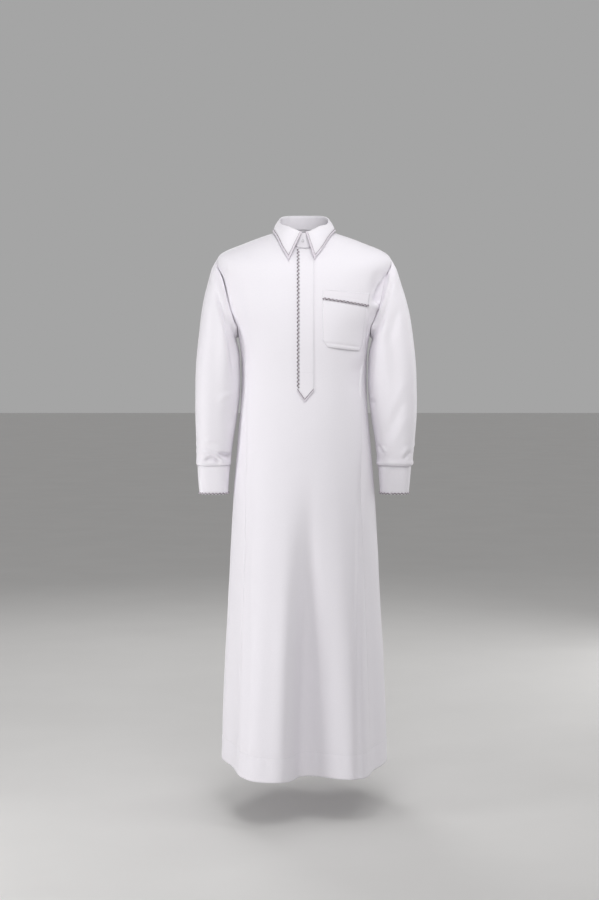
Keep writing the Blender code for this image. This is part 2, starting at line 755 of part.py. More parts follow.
def collar_button():
    """The flat button that closes the stand."""
    normal = stand_normal(BUTTON_HEIGHT, BUTTON_TURN)
    middle = stand_surface(BUTTON_HEIGHT, BUTTON_TURN) + normal * (LAY + BUTTON_THICK / 2)
    turned = normal.to_track_quat("Z", "Y").to_matrix().to_4x4()
    turned.translation = middle
    bm = bmesh.new()
    bmesh.ops.create_cone(
        bm,
        cap_ends=True,
        segments=20,
        radius1=BUTTON_RADIUS,
        radius2=BUTTON_RADIUS,
        depth=BUTTON_THICK,
        matrix=turned,
    )
    return add_object("collar_button", bm, WHITE, roughness=0.35)


# ---------------------------------------------------------------- placket

def placket_across(part):
    """The place across the placket: its two edges, and its point between them."""
    if part < 0.5:
        return PLACKET_LEFT + (PLACKET_MIDDLE - PLACKET_LEFT) * part * 2
    return PLACKET_MIDDLE + (PLACKET_RIGHT - PLACKET_MIDDLE) * (part * 2 - 1)


def placket_foot(part):
    """The height of the placket's pointed lower edge."""
    return PLACKET_TIP + (PLACKET_CORNER - PLACKET_TIP) * abs(part * 2 - 1)


def placket():
    rows = []
    for row in range(PLACKET_ROWS + 1):
        line = []
        for column in range(PLACKET_COLUMNS + 1):
            part = column / PLACKET_COLUMNS
            foot = placket_foot(part)
            height = foot + (PLACKET_TOP - foot) * row / PLACKET_ROWS
            line.append(on_front(placket_across(part), height, LAY + FACED))
        rows.append(line)
    return Piece("placket", rows, wall=FACED)


def placket_braid():
    """The braid down the placket's open edge."""
    foot = PLACKET_CORNER + POINT_TAPE_HEIGHT + SEAM
    lift = LAY + FACED + LAY + BRAID_THICK
    rows = []
    for row in range(PLACKET_ROWS + 1):
        height = foot + (PLACKET_TOP - foot) * row / PLACKET_ROWS
        edges = (PLACKET_LEFT, PLACKET_LEFT + BRAID_WIDTH)
        rows.append([on_front(across, height, lift) for across in edges])
    return Piece("placket_braid", rows, wall=BRAID_THICK, colour=GREY)


def placket_piping():
    """The tape along the placket's point."""
    lift = LAY + FACED + LAY + TAPE
    rows = []
    for rise in (0.0, POINT_TAPE_HEIGHT):
        line = []
        for column in range(PLACKET_COLUMNS + 1):
            part = column / PLACKET_COLUMNS
            line.append(on_front(placket_across(part), placket_foot(part) + rise, lift))
        rows.append(line)
    return Piece("placket_piping", rows, wall=TAPE, colour=GREY)


# ---------------------------------------------------------------- chest pocket

def pocket_point(line, part, lift):
    """A point over the front panel along one of the pocket's lines."""
    across = line.left_x + (line.right_x - line.left_x) * part
    height = line.left_z + (line.right_z - line.left_z) * part
    puff = line.puff * math.sin(math.pi * part) ** PUFF_SHAPE
    return on_front(across, height, lift + puff)


def pocket_piece(name, lines):
    parts = [column / POCKET_COLUMNS for column in range(POCKET_COLUMNS + 1)]
    rows = [[pocket_point(line, part, LAY + CLOTH) for part in parts] for line in lines]
    return Piece(name, rows)


def pocket_cord():
    """The cord that covers the seam between the pocket and its band."""
    lift = LAY + CLOTH + LAY + POCKET_CORD
    parts = [step / CORD_COLUMNS for step in range(CORD_COLUMNS + 1)]
    route = [pocket_point(CORD_LINE, part, lift) for part in parts]
    out = torso_normal(*CHEST)
    return make_cord("pocket_cord", route, [out] * len(route), POCKET_CORD, closed=False)


# ---------------------------------------------------------------- the robe

def clear_scene():
    for old in list(bpy.data.objects):
        bpy.data.objects.remove(old, do_unlink=True)


def build():
    clear_scene()
    cuffs = {name: cuff(name) for name in SLEEVES}
    sewn = [
        front_panel(),
        back_panel(),
        side_panel("side_panel_left", 1),
        side_panel("side_panel_right", -1),
        collar_stand(),
    ]
    sewn += [sleeve(name) for name in SLEEVES]
    sewn += list(cuffs.values())
    sew(sewn)
    laid = [
        collar_leaf(),
        collar_piping(),
        placket(),
        placket_braid(),
        placket_piping(),
        pocket_piece("pocket", POCKET_LINES),
        pocket_piece("pocket_band", BAND_LINES),
    ]
    for piece in sewn + laid:
        make_wall(piece)
    for name, made in cuffs.items():
        cuff_cord(name, made)
    pocket_cord()
    collar_button()


build()
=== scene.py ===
"""A thobe: an ankle-length white shirt robe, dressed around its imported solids."""

import math

import bmesh
import bpy
import numpy as np
from mathutils import Matrix, Vector, noise
from mathutils.bvhtree import BVHTree


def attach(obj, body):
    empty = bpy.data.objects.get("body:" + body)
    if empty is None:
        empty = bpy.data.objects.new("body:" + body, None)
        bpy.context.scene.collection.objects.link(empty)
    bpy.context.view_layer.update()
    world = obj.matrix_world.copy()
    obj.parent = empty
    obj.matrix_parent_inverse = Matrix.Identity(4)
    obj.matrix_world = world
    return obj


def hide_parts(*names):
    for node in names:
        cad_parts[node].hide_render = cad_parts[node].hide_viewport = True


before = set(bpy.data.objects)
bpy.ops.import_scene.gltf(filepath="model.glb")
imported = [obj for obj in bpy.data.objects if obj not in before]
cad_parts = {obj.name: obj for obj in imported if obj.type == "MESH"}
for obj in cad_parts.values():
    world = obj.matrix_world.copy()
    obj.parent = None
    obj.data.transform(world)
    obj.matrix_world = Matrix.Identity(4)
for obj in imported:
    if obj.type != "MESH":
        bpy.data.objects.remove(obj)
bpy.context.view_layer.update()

# ---------------------------------------------------------------- the robe's form
# The body of the robe hangs from the shoulders as a wide tube, closed by the two shoulder slopes.
# Front, back and side gores are all cut from this one form, so they meet along their seams.

LENGTH = 1.377            # neck point to hem
SEAM = 0.0003             # gap between two sewn pieces
TIP, NECK = 9, 11         # the rings at the shoulders' tips and at the neck
CORNER = 6 + 1 / 3        # where the side seams reach the armhole
SCOOP = 0.28              # how far the armhole's foot dips below that

# Rings from the hem up: height at the sides, the centre front and the centre back, half width,
# depth forward and backward, squareness, and the turn at which the front panel ends.
RINGS = np.array((
    (-LENGTH, -LENGTH, -LENGTH, 0.219, 0.232, 0.200, 2.00, 46),
    (-1.160, -1.160, -1.160, 0.212, 0.205, 0.184, 2.00, 48),
    (-0.930, -0.930, -0.930, 0.1985, 0.178, 0.166, 2.05, 50),
    (-0.700, -0.700, -0.700, 0.186, 0.151, 0.149, 2.10, 52),
    (-0.540, -0.540, -0.540, 0.1735, 0.130, 0.132, 2.15, 57),
    (-0.390, -0.390, -0.390, 0.1615, 0.115, 0.108, 2.20, 63),
    (-0.275, -0.275, -0.275, 0.170, 0.121, 0.113, 2.25, 70),
    (-0.195, -0.212, -0.200, 0.203, 0.121, 0.118, 2.30, 67),
    (-0.120, -0.158, -0.130, 0.217, 0.115, 0.115, 2.30, 70),
    (-0.062, -0.112, -0.072, 0.222, 0.107, 0.101, 2.25, 90),
    (-0.0255, -0.077, -0.022, 0.150, 0.096, 0.082, 2.10, 90),
    (0.002, -0.047, 0.012, 0.070, 0.082, 0.059, 2.00, 90),
))
# The skirt's folds: turn, rise at the hem, half spread in degrees, and where they start.
SKIRT_FOLDS = (
    (-27, 0.047, 15, -0.52),
    (9, -0.040, 12, -0.66),
    (32, 0.040, 12, -0.55),
    (-64, -0.013, 12, -0.60),
    (52, -0.006, 7, -0.50),
    (128, -0.014, 13, -0.66),
    (152, 0.026, 14, -0.55),
    (180, -0.026, 13, -0.70),
    (-154, 0.030, 14, -0.58),
    (-125, -0.012, 12, -0.66),
)
FOLD_GROWTH = 1.25


def read_table(table, place):
    """The columns of a table read between its rows, on a smooth curve through them."""
    table = np.asarray(table, float)
    low = np.clip(np.floor(place).astype(int), 0, len(table) - 2)
    part = (place - low)[..., None]
    before, start = table[np.maximum(low - 1, 0)], table[low]
    end, after = table[low + 1], table[np.minimum(low + 2, len(table) - 1)]
    values = 2 * start + (end - before) * part
    values = values + (2 * before - 5 * start + 4 * end - after) * part ** 2
    values = values + (3 * start - before - 3 * end + after) * part ** 3
    return np.moveaxis(values / 2, -1, 0)


def ease(value):
    part = np.clip(value, 0.0, 1.0)
    return part * part * (3 - 2 * part)


def bell(distance, spread):
    return np.exp(-0.5 * (distance / spread) ** 2)


def apart(turn, other):
    return (turn - other + 180) % 360 - 180


def swell(across, ahead, square):
    """How far an oval reaches in one direction: 2 is an ellipse, more is squarer."""
    return (np.abs(across) ** square + np.abs(ahead) ** square) ** (-1 / square)


def torso(place, turn):
    """A point of the body's outer face. Turn 0 is the centre front, 90 the wearer's left."""
    place, turn = np.broadcast_arrays(np.asarray(place, float), np.asarray(turn, float))
    side_z, front_z, back_z, half, front, back, square, _ = read_table(RINGS, place)
    across, ahead = np.sin(np.radians(turn)), np.cos(np.radians(turn))
    reach = swell(across, ahead, square)
    depth = np.where(ahead > 0, front, back)
    middle_z = np.where(ahead > 0, front_z, back_z)
    height = middle_z + (side_z - middle_z) * np.minimum(1.0, np.abs(across) * reach) ** 2
    fold = 0.0
    for middle, rise, spread, top in SKIRT_FOLDS:
        drop = np.maximum(0.0, (top - height) / (top + LENGTH))
        fold = fold + rise * drop ** FOLD_GROWTH * bell(apart(turn, middle), spread)
    return np.stack(((half + fold) * reach * across, -(depth + fold) * reach * ahead, height), -1)


def seam_turn(place):
    """Where the front panel ends: at the side seam, the armhole or the shoulder seam."""
    place = np.asarray(place, float)
    return np.where(place >= TIP, 90.0, read_table(RINGS, np.minimum(place, TIP))[7])


def run_along(line):
    """The distance along a line of points to each of them."""
    return np.concatenate(((0,), np.cumsum(np.linalg.norm(np.diff(line, axis=0), axis=1))))


def even_places(surface, high, step, extra=()):
    """Places from 0 to high, a step of cloth apart, with some extra ones."""
    fine = np.linspace(0, high, 400)
    run = run_along(surface(fine))
    count = int(run[-1] / step) + 1
    return np.union1d(np.interp(np.linspace(0, run[-1], count), run, fine), extra)


# ---------------------------------------------------------------- shirting
# Bleached white cotton and polyester shirting in a fine plain weave, pressed smooth, with a cool
# cast and a faint satin sheen. Each cut piece is one thin sheet, laid on its place on the form.

CLOTH = 0.0011            # a layer with its pressed turnings
FACED = 0.0018            # two layers with interfacing between them
THREAD = 0.00045          # from one thread of the weave to the next
WAVES_IN_ONE = 20 / (2 * math.pi)    # bands of a Wave texture in one unit at scale 1


def add_node(tree, kind, inputs=(), **settings):
    made = tree.nodes.new(kind)
    for name, value in settings.items():
        setattr(made, name, value)
    for name, value in dict(inputs).items():
        made.inputs[name].default_value = value
    return made


def toned_material(name, dark, light, reads, pattern, finish):
    """A material whose colour runs between two tones over a pattern.

    Reads is the coordinates, UV or Object, and pattern a node's kind, inputs and settings. Returns
    the sockets of both too, for a relief to build on.
    """
    made = bpy.data.materials.new(name)
    made.use_nodes = True
    tree = made.node_tree
    shader = tree.nodes["Principled BSDF"]
    for socket, value in finish.items():
        shader.inputs[socket].default_value = value
    place = add_node(tree, "ShaderNodeTexCoord").outputs[reads]
    kind, inputs, settings = pattern
    shade = add_node(tree, kind, inputs, **settings)
    tree.links.new(place, shade.inputs["Vector"])
    tones = add_node(tree, "ShaderNodeValToRGB")
    for stop, tone in zip(tones.color_ramp.elements, (dark, light)):
        stop.color = (*tone, 1)
    tree.links.new(shade.outputs["Fac"], tones.inputs["Fac"])
    tree.links.new(tones.outputs["Color"], shader.inputs["Base Color"])
    return made, place, shade.outputs["Fac"]


def add_relief(tree, height, strength, depth):
    """Sets a height in relief on a material's surface, without moving the mesh."""
    bump = add_node(tree, "ShaderNodeBump", {"Strength": strength, "Distance": depth})
    tree.links.new(height, bump.inputs["Height"])
    tree.links.new(bump.outputs["Normal"], tree.nodes["Principled BSDF"].inputs["Normal"])


def bands(pitch, distortion, detail, direction):
    """A pattern of bands, one every pitch."""
    inputs = {"Scale": 1 / (pitch * WAVES_IN_ONE), "Distortion": distortion, "Detail": detail}
    return "ShaderNodeTexWave", inputs, {"wave_type": "BANDS", "bands_direction": direction}


white_shirting, flat, slub = toned_material(
    "white_shirting", (0.845, 0.819, 0.866), (0.885, 0.858, 0.905), "UV",
    ("ShaderNodeTexNoise", {"Scale": 260.0, "Detail": 2.0}, {}),
    {"Roughness": 0.72, "Specular IOR Level": 0.30, "Sheen Weight": 0.12, "Sheen Roughness": 0.45},
)
# The plain weave: warp and weft multiplied, with the slubs on them.
tree = white_shirting.node_tree
crossed = add_node(tree, "ShaderNodeMath", operation="MULTIPLY")
for direction, socket in zip("XY", crossed.inputs):
    kind, inputs, settings = bands(THREAD, 0.6, 1.0, direction)
    threads = add_node(tree, kind, inputs, **settings)
    tree.links.new(flat, threads.inputs["Vector"])
    tree.links.new(threads.outputs["Fac"], socket)
height = add_node(tree, "ShaderNodeMath", operation="ADD")
tree.links.new(crossed.outputs["Value"], height.inputs[0])
tree.links.new(slub, height.inputs[1])
add_relief(tree, height.outputs["Value"], 0.35, 0.00008)


def unit(vectors):
    return vectors / np.linalg.norm(vectors, axis=-1, keepdims=True)


def run_of(points, axis):
    """The mean distance along a grid of points from its first line to each other one."""
    steps = np.linalg.norm(np.diff(points, axis=axis), axis=-1)
    return np.concatenate(((0,), np.cumsum(steps.mean(axis=1 - axis))))


def way_out(points, closed=False):
    """The unit way out of a grid of points whose columns turn and whose rows rise."""
    if closed:
        wrapped = np.concatenate((points[:, -2:-1], points, points[:, 1:2]), axis=1)
        by_column = wrapped[:, 2:] - wrapped[:, :-2]
    else:
        by_column = np.gradient(points, axis=1)
    return unit(np.cross(by_column, np.gradient(points, axis=0)))


def lift_cloth(points, heights, closed=False):
    """Moves the points of a piece out by the given heights."""
    return points + way_out(points, closed) * heights[..., None]


def part_edges(points, closed=False):
    """Draws the edges of a piece back from its seams."""
    points = points.copy()
    for edge, inner in ((0, 1), (-1, -2)):
        points[edge] += unit(points[inner] - points[edge]) * SEAM / 2
        if not closed:
            points[:, edge] += unit(points[:, inner] - points[:, edge]) * SEAM / 2
    return points


def lay_grid(bm, points, closed=False, finish=0, left_out=()):
    """Adds a grid of faces to a mesh and lays it on a grid of points, its flat size kept as UV."""
    rows, columns = points.shape[:2]
    across, up = run_of(points, 1), run_of(points, 0)
    flat = bm.loops.layers.uv.verify()
    made = bmesh.ops.create_grid(bm, x_segments=columns - 1, y_segments=rows - 1, size=0.5)
    spots = {}
    for vert in made["verts"]:
        row, column = (vert.co.y + 0.5) * (rows - 1), (vert.co.x + 0.5) * (columns - 1)
        spots[vert] = round(row), round(column)
    faces = {face for vert in spots for face in vert.link_faces}
    unused = []
    for face in sorted(faces, key=lambda face: min(spots[vert] for vert in face.verts)):
        corners = [spots[loop.vert] for loop in face.loops]
        for loop, (row, column) in zip(face.loops, corners):
            loop[flat].uv = (across[column], up[row])
        face.material_index = finish
        if min(corners) in left_out:
            unused.append(face)
    for vert, (row, column) in spots.items():
        vert.co = points[row, column]
    bmesh.ops.delete(bm, geom=unused, context="FACES_ONLY")
    if closed:
        edges = [vert for vert, (row, column) in spots.items() if column in (0, columns - 1)]
        bmesh.ops.remove_doubles(bm, verts=edges, dist=1e-6)


def make_sheet(name, points, closed=False, wall=CLOTH, material=white_shirting, left_out=()):
    """A sheet of cloth, its outer face on the given points and its wall on the inner side."""
    bm = bmesh.new()
    lay_grid(bm, points, closed, left_out=left_out)
    return add_piece(name, bm, (material,), wall)


def add_piece(name, bm, materials, wall=0.0):
    """Puts a finished mesh in the scene, riding on the robe's one body."""
    for face in bm.faces:
        face.smooth = True
    mesh = bpy.data.meshes.new(name)
    bm.to_mesh(mesh)
    bm.free()
    made = bpy.data.objects.new(name, mesh)
    bpy.context.scene.collection.objects.link(made)
    for material in materials:
        mesh.materials.append(material)
    if wall:
        thick = made.modifiers.new("wall", "SOLIDIFY")
        thick.thickness = wall
        thick.offset = -1.0
    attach(made, "root")
    return made


# The sides that creases are drawn from: their axes across and up, and where they face.
SIDES = {
    "front": ((0, 2), (0, -1, 0)),
    "back": ((0, 2), (0, 1, 0)),
    "left": ((1, 2), (1, 0, 0)),
    "right": ((1, 2), (-1, 0, 0)),
}


def crease(width, rise, *line, lean=0.0, ends=(0.35, 0.45)):
    """A crease, drawn in millimetres as its half width, its rise and the points of its line.

    A trough's rise is below 0. Above 0, lean makes the flank on the line's left the wider one.
    Ends are the parts of the line over which the crease fades in and out.
    """
    return np.array(line) / 1000, width / 1000, rise / 1000, lean, ends


def crease_height(seen, line, width, rise, lean, fades):
    """How far one crease lifts the cloth at each point, seen flat from its side."""
    line = np.stack(read_table(line, np.linspace(0, len(line) - 1, 25)), -1)
    steps = np.diff(line, axis=0)
    lengths = np.linalg.norm(steps, axis=1)
    ends = np.cumsum(lengths)
    best = np.full(seen.shape[:-1], np.inf)
    height = np.zeros(seen.shape[:-1])
    for start, step, length, end in zip(line, steps, lengths, ends):
        offset = seen - start
        part = np.clip((offset @ step) / length ** 2, 0, 1)
        gap = np.linalg.norm(offset - part[..., None] * step, axis=-1)
        on_left = step[0] * offset[..., 1] - step[1] * offset[..., 0] > 0
        flank = width * np.where(on_left, 1 + lean, 1 - lean)
        along = (end - length + part * length) / ends[-1]
        fade = ease(along / fades[0]) * ease((1 - along) / fades[1])
        nearer = gap < best
        best = np.where(nearer, gap, best)
        height = np.where(nearer, np.exp(-(gap / flank) ** 2) * fade, height)
    return height * rise


def edge_gap(points, rows, columns):
    """How far each point of a piece is from the nearest of its chosen edges."""
    across, up = run_of(points, 1)[None, :], run_of(points, 0)[:, None]
    gap = np.full(points.shape[:2], np.inf)
    runs = up, up[-1] - up, across, across[:, -1:] - across
    for chosen, run in zip((*rows, *columns), runs):
        if chosen:
            gap = np.minimum(gap, run)
    return gap


# Which of two opposite edges.
BOTH, NEITHER, FIRST, LAST = (True, True), (False, False), (True, False), (False, True)
HELD = 0.003              # how far from a seam the creases start


def sink_edges(points, depth, reach, rows=BOTH, columns=BOTH, closed=False):
    """The groove of a pressed seam along the chosen edges of a piece."""
    return lift_cloth(points, -depth * bell(edge_gap(points, rows, columns), reach), closed)


def press(points, sides, rows=BOTH, columns=BOTH, closed=False):
    """Presses creases into a piece, each set from its own side, and holds the piece's seams."""
    ways = way_out(points, closed)
    heights = np.zeros(points.shape[:2])
    for side, creases in sides.items():
        axes, facing = SIDES[side]
        shown = ease((ways @ np.array(facing) + 0.05) / 0.4)
        heights += shown * sum(crease_height(points[..., axes], *drawn) for drawn in creases)
    held = ease(edge_gap(points, rows, columns) / HELD)
    return points + ways * (heights * held)[..., None]


SWELLS = ((0.110, 0.0011), (0.036, 0.0003))    # size and rise: broad swells, and finer ones
SWELL_START = Vector((3.0, 0, 0))              # where the noise is read


def unevenness(points, closed=False):
    """The slight waviness of cloth that hangs."""
    heights = np.zeros(points.shape[:2])
    for size, rise in SWELLS:
        for spot in np.ndindex(heights.shape):
            heights[spot] += rise * noise.noise(Vector(points[spot] / size) + SWELL_START)
    return lift_cloth(points, heights, closed)


# ---------------------------------------------------------------- front
# The front hangs from the shoulder seams to the hem in one piece of shirting, with the neck slit
# down its middle and a turned-up, stitched hem. The chest fills it out, and the skirt falls in one
# broad valley between lobes.

STEP = 0.0046             # spacing of the mesh over the body
SLIT_END = -0.350         # foot of the neck slit
SLIT_COLUMN = 0.02        # its place between the middle, 0, and the seam, 1
HEM_DEPTH = 0.060         # the turned-up hem
HEM_GROOVE, GROOVE_REACH = 0.0009, 0.0014
HEM_STEP, STEP_REACH = 0.0005, 0.002
HEM_PUCKER, PUCKER_DROP, PUCKER_REACH = 0.00045, 0.012, 0.014
PUCKERS, DRIFTS = 310, 47    # radians in a metre of hem, of the puckers and of their drift
HEM_AROUND = 0.22         # mean radius of the hem
# The seams' groove: how deep everywhere, more in the armhole and more down the skirt, its reach,
# and the heights between which the armhole and the skirt come in and out.
SEAM_GROOVE, ARMHOLE_MORE, SKIRT_MORE, SEAM_REACH = 0.0002, 0.0003, 0.0004, 0.0025
ARMHOLE_IN, ARMHOLE_OUT, SKIRT_IN = (-0.075, 0.07), (-0.36, 0.10), (-0.42, 0.15)

hem_line = LENGTH - HEM_DEPTH
near_hem = HEM_DEPTH / (LENGTH + RINGS[1, 0]) + np.linspace(-0.012, 0.012, 5)


def body_places(turn, high):
    """Rows up the body from the hem, with closer ones at the hemming stitches."""
    return even_places(lambda place: torso(place, turn), high, STEP, near_hem)


def body_columns(count):
    """Even columns from -1 to 1, with closer ones along the two seams."""
    even = np.linspace(-1, 1, count)
    edge = 1 - np.array([0.25, 0.6]) * 2 / (count - 1)
    return np.union1d(even, np.concatenate((edge, -edge)))


def hem_groove(points):
    """The dent of the hemming stitches, the second layer below it, and its slight puckers."""
    gap = points[..., 2] + hem_line
    low = HEM_GROOVE * bell(gap, GROOVE_REACH) - HEM_STEP * ease(-gap / STEP_REACH)
    run = np.arctan2(points[..., 0], -points[..., 1]) * HEM_AROUND
    pucker = np.sin(run * PUCKERS + 2 * np.sin(run * DRIFTS))
    low += HEM_PUCKER * pucker * bell(gap + PUCKER_DROP, PUCKER_REACH)
    return lift_cloth(points, -low)


def seam_depth(points):
    """The groove along a panel's side, armhole and shoulder: deepest down the armhole."""
    height = points[:, :1, 2]
    (top, above), (foot, below), (hip, under) = ARMHOLE_IN, ARMHOLE_OUT, SKIRT_IN
    down_armhole = ease((top - height) / above) * ease((height - foot) / below)
    return SEAM_GROOVE + ARMHOLE_MORE * down_armhole + SKIRT_MORE * ease((hip - height) / under)


def hang_panel(points, skirt, creases):
    """A panel's waviness, the skirt's folds, its hem, its own creases and its seams."""
    points = press(unevenness(points), skirt, NEITHER, NEITHER)
    points = press(part_edges(hem_groove(points)), creases, LAST)
    return sink_edges(points, seam_depth(points), SEAM_REACH, LAST)


# Folds of the skirt that run over the front and side seams alike, with no fade at the hem.
SKIRT_CREASES = (
    crease(22, -19, (17, -560), (14, -740), (11, -890), (7, -1045), (4, -1200), (2, -1380),
           ends=(0.75, 0.001)),
    crease(26, 13, (-34, -600), (-40, -740), (-44, -890), (-50, -1045), (-55, -1200), (-60, -1380),
           ends=(0.7, 0.001)),
    crease(8.5, -5, (152, -480), (148, -640), (141, -840), (136, -1020), (134, -1380),
           ends=(0.25, 0.001)),
    crease(10, -2, (-136, -480), (-141, -670), (-147, -850), (-148, -1000), (-150, -1380),
           ends=(0.25, 0.001)),
)
FRONT_CREASES = (
    # Soft hollows beside both armholes.
    crease(16, -4, (-186, -120), (-166, -190), (-148, -275)),
    crease(12, -4.5, (200, -90), (180, -140), (166, -185)),
    # The fold that drops into the left armhole, its sharp inner edge, and the nub at its foot.
    crease(4, -6, (212.5, -102), (211, -113), (204, -141), (196.5, -171.5), (195, -190), lean=-0.4,
           ends=(0.25, 0.15)),
    crease(9.5, -15, (206, -118), (198.5, -143), (192, -170), (193, -188), lean=-0.5,
           ends=(0.5, 0.15)),
    crease(4, 3, (203, -118), (192, -143), (182, -170), ends=(0.3, 0.2)),
    crease(4, 5.2, (182.4, -186.3), (188.8, -195.2), (195.2, -202.8)),
    # Folds that fan out from the left armhole's foot past the pocket.
    crease(7, -5, (177.6, -186), (172.6, -216.4), (164, -254.5), (156, -292.6)),
    crease(3.6, 2.8, (184, -208.8), (173.9, -239.2), (166, -269.7)),
    crease(5, 2.2, (166, -200), (158, -255), (154, -311)),
    crease(24, -5, (128, -325), (140, -375), (146, -440)),
    # The same on the right, fainter.
    crease(5, 1.2, (-196, -74), (-193, -108), (-190, -148)),
    crease(8, -1.6, (-160, -262), (-150, -310), (-146, -370)),
)

places, columns = body_places(0, NECK), body_columns(count=113)
points = torso(places[:, None], columns * seam_turn(places)[:, None])
front_points = hang_panel(points, {"front": SKIRT_CREASES}, {"front": FRONT_CREASES})
middle = int(np.argmin(np.abs(columns - SLIT_COLUMN)))
slit = {(row, middle) for row in range(len(places)) if front_points[row, middle, 2] > SLIT_END}
front = make_sheet("front_cloth", front_points, left_out=slit)
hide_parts("front")

# ---------------------------------------------------------------- back
# One piece of shirting from the shoulder seams to the hem, without a yoke. It is sewn to the front
# and the gores, and hangs from the shoulder blades.

BACK_CREASES = (
    # Hollows and folds beside the armholes.
    crease(15, -3.5, (192, -105), (176, -180), (156, -270)),
    crease(14, -3, (-196, -100), (-180, -170), (-158, -280)),
    crease(6, 2.2, (200, -130), (186, -190), (168, -240)),
    crease(6, 2, (-204, -120), (-190, -180), (-170, -236)),
    crease(11, -2.6, (150, -235), (128, -330), (118, -430)),
    crease(10, -2.2, (-154, -250), (-136, -330), (-124, -410)),
    # Slack over the small of the back.
    crease(14, -2.4, (-90, -380), (0, -402), (94, -376)),
    crease(12, 1.6, (-82, -440), (10, -456), (80, -436)),
)

# Folds of the skirt behind, over the back and side seams alike.
BACK_SKIRT = (
    crease(28, -18, (6, -600), (10, -800), (6, -1040), (0, -1380), ends=(0.7, 0.001)),
    crease(24, 11, (72, -560), (84, -800), (94, -1060), (102, -1380), ends=(0.65, 0.001)),
    crease(26, 13, (-66, -640), (-74, -840), (-86, -1080), (-92, -1380), ends=(0.7, 0.001)),
    crease(14, -9, (134, -520), (142, -740), (150, -1020), (154, -1380), ends=(0.5, 0.001)),
    crease(15, -8, (-128, -560), (-138, -800), (-146, -1060), (-152, -1380), ends=(0.5, 0.001)),
)

places, columns = body_places(180, NECK), body_columns(count=93)
points = torso(places[:, None], 180 + columns * seam_turn(places)[:, None])
back_points = hang_panel(points, {"back": BACK_SKIRT}, {"back": BACK_CREASES})
back = make_sheet("back_cloth", back_points)
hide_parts("back")

# ---------------------------------------------------------------- side gores
# A long gore of the same shirting on each side, from the foot of the armhole to the hem, gives the
# skirt its width. It is sewn between the front and the back.

# Short folds that fan out below the armhole.
GORE_CREASES = (
    crease(8, -2.4, (-10, -290), (-20, -350), (-24, -430)),
    crease(8, -2.2, (22, -285), (26, -350), (20, -420)),
    crease(7, 1.8, (6, -300), (2, -370), (4, -460)),
)


HANDS = {"left": 1, "right": -1}


def handed(points, side):
    """Keeps the columns of the right side's pieces running the same way round."""
    return points if side > 0 else points[:, ::-1]


hem_grids = [front_points, back_points]
both_skirts = {"front": SKIRT_CREASES, "back": BACK_SKIRT}
places, columns = body_places(90, CORNER)[:, None], body_columns(count=33)
dip = SCOOP * ease(places - CORNER + 1) * (1 - columns ** 2)
turn = 90 + columns * (90 - seam_turn(places))
for name, side in HANDS.items():
    points = handed(torso(places - dip, side * turn), side)
    points = hang_panel(points, both_skirts, {name: GORE_CREASES})
    hem_grids.append(points)
    gore = make_sheet(f"side_gore_{name}", points)
    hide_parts(f"side_panel_{name}")

# ---------------------------------------------------------------- sleeves
# A straight sleeve of the same shirting is set into each armhole with a little fullness, and its
# lower edge is caught into the cuff.

# The arm's ovals: outermost and innermost points, half depth, how far forward, squareness.
ARM_RINGS = np.array((
    (0.2395, -0.0930, 0.1765, -0.2745, 0.0650, 0.000, 2.15),
    (0.2525, -0.1350, 0.1750, -0.2840, 0.0690, 0.000, 2.10),
    (0.2645, -0.1800, 0.1720, -0.2950, 0.0710, 0.001, 2.15),
    (0.2745, -0.2350, 0.1692, -0.3080, 0.0715, 0.002, 2.15),
    (0.2835, -0.3150, 0.1672, -0.3400, 0.0700, 0.003, 2.35),
    (0.2875, -0.3950, 0.1672, -0.3980, 0.0665, 0.005, 2.50),
    (0.2880, -0.4700, 0.1740, -0.4700, 0.0620, 0.008, 2.60),
    (0.2835, -0.5450, 0.1855, -0.5450, 0.0560, 0.011, 2.65),
    (0.2815, -0.5900, 0.1905, -0.5900, 0.0500, 0.013, 2.70),
    (0.2805, -0.6000, 0.1912, -0.6000, 0.0455, 0.014, 2.75),
))
CUFF_RINGS = np.array((
    (0.2785, -0.6040, 0.1930, -0.6040, 0.0425, 0.014, 2.80),
    (0.2760, -0.6400, 0.1960, -0.6400, 0.0400, 0.015, 3.00),
    (0.2725, -0.6775, 0.1985, -0.6775, 0.0370, 0.016, 3.00),
))
EVEN_FROM = 4             # from this oval on the columns are evenly spaced
FOOT_START = 137.0        # angle round the arm at which the armhole's foot starts
HOLE_DOWN, HOLE_FOOT = 8, 6    # column steps down each side of the armhole, and along its foot
HOLE_ROUND = 2 * HOLE_DOWN + HOLE_FOOT
PLACES_IN_A_STEP = 1 / 3
FULLNESS = {"left": 0.0055, "right": -0.0045}    # how much further out the sleeve's outer line is
FULL_IN, FULL_OUT = (-0.080, 0.22), (-0.640, 0.16)    # where that comes in and goes, and how fast
SLEEVE_COLUMNS, SLEEVE_STEP = 111, 0.0032    # columns round the arm, and the rows' spacing
FRONT_COLUMN = 28         # the column down the arm's front, along which the rows are spaced
CUFF_GROOVE, CUFF_REACH = 0.0006, 0.0014    # of the groove where sleeve and cuff meet
ARMHOLE_REACH = 0.0020    # of the armhole's groove on the sleeve

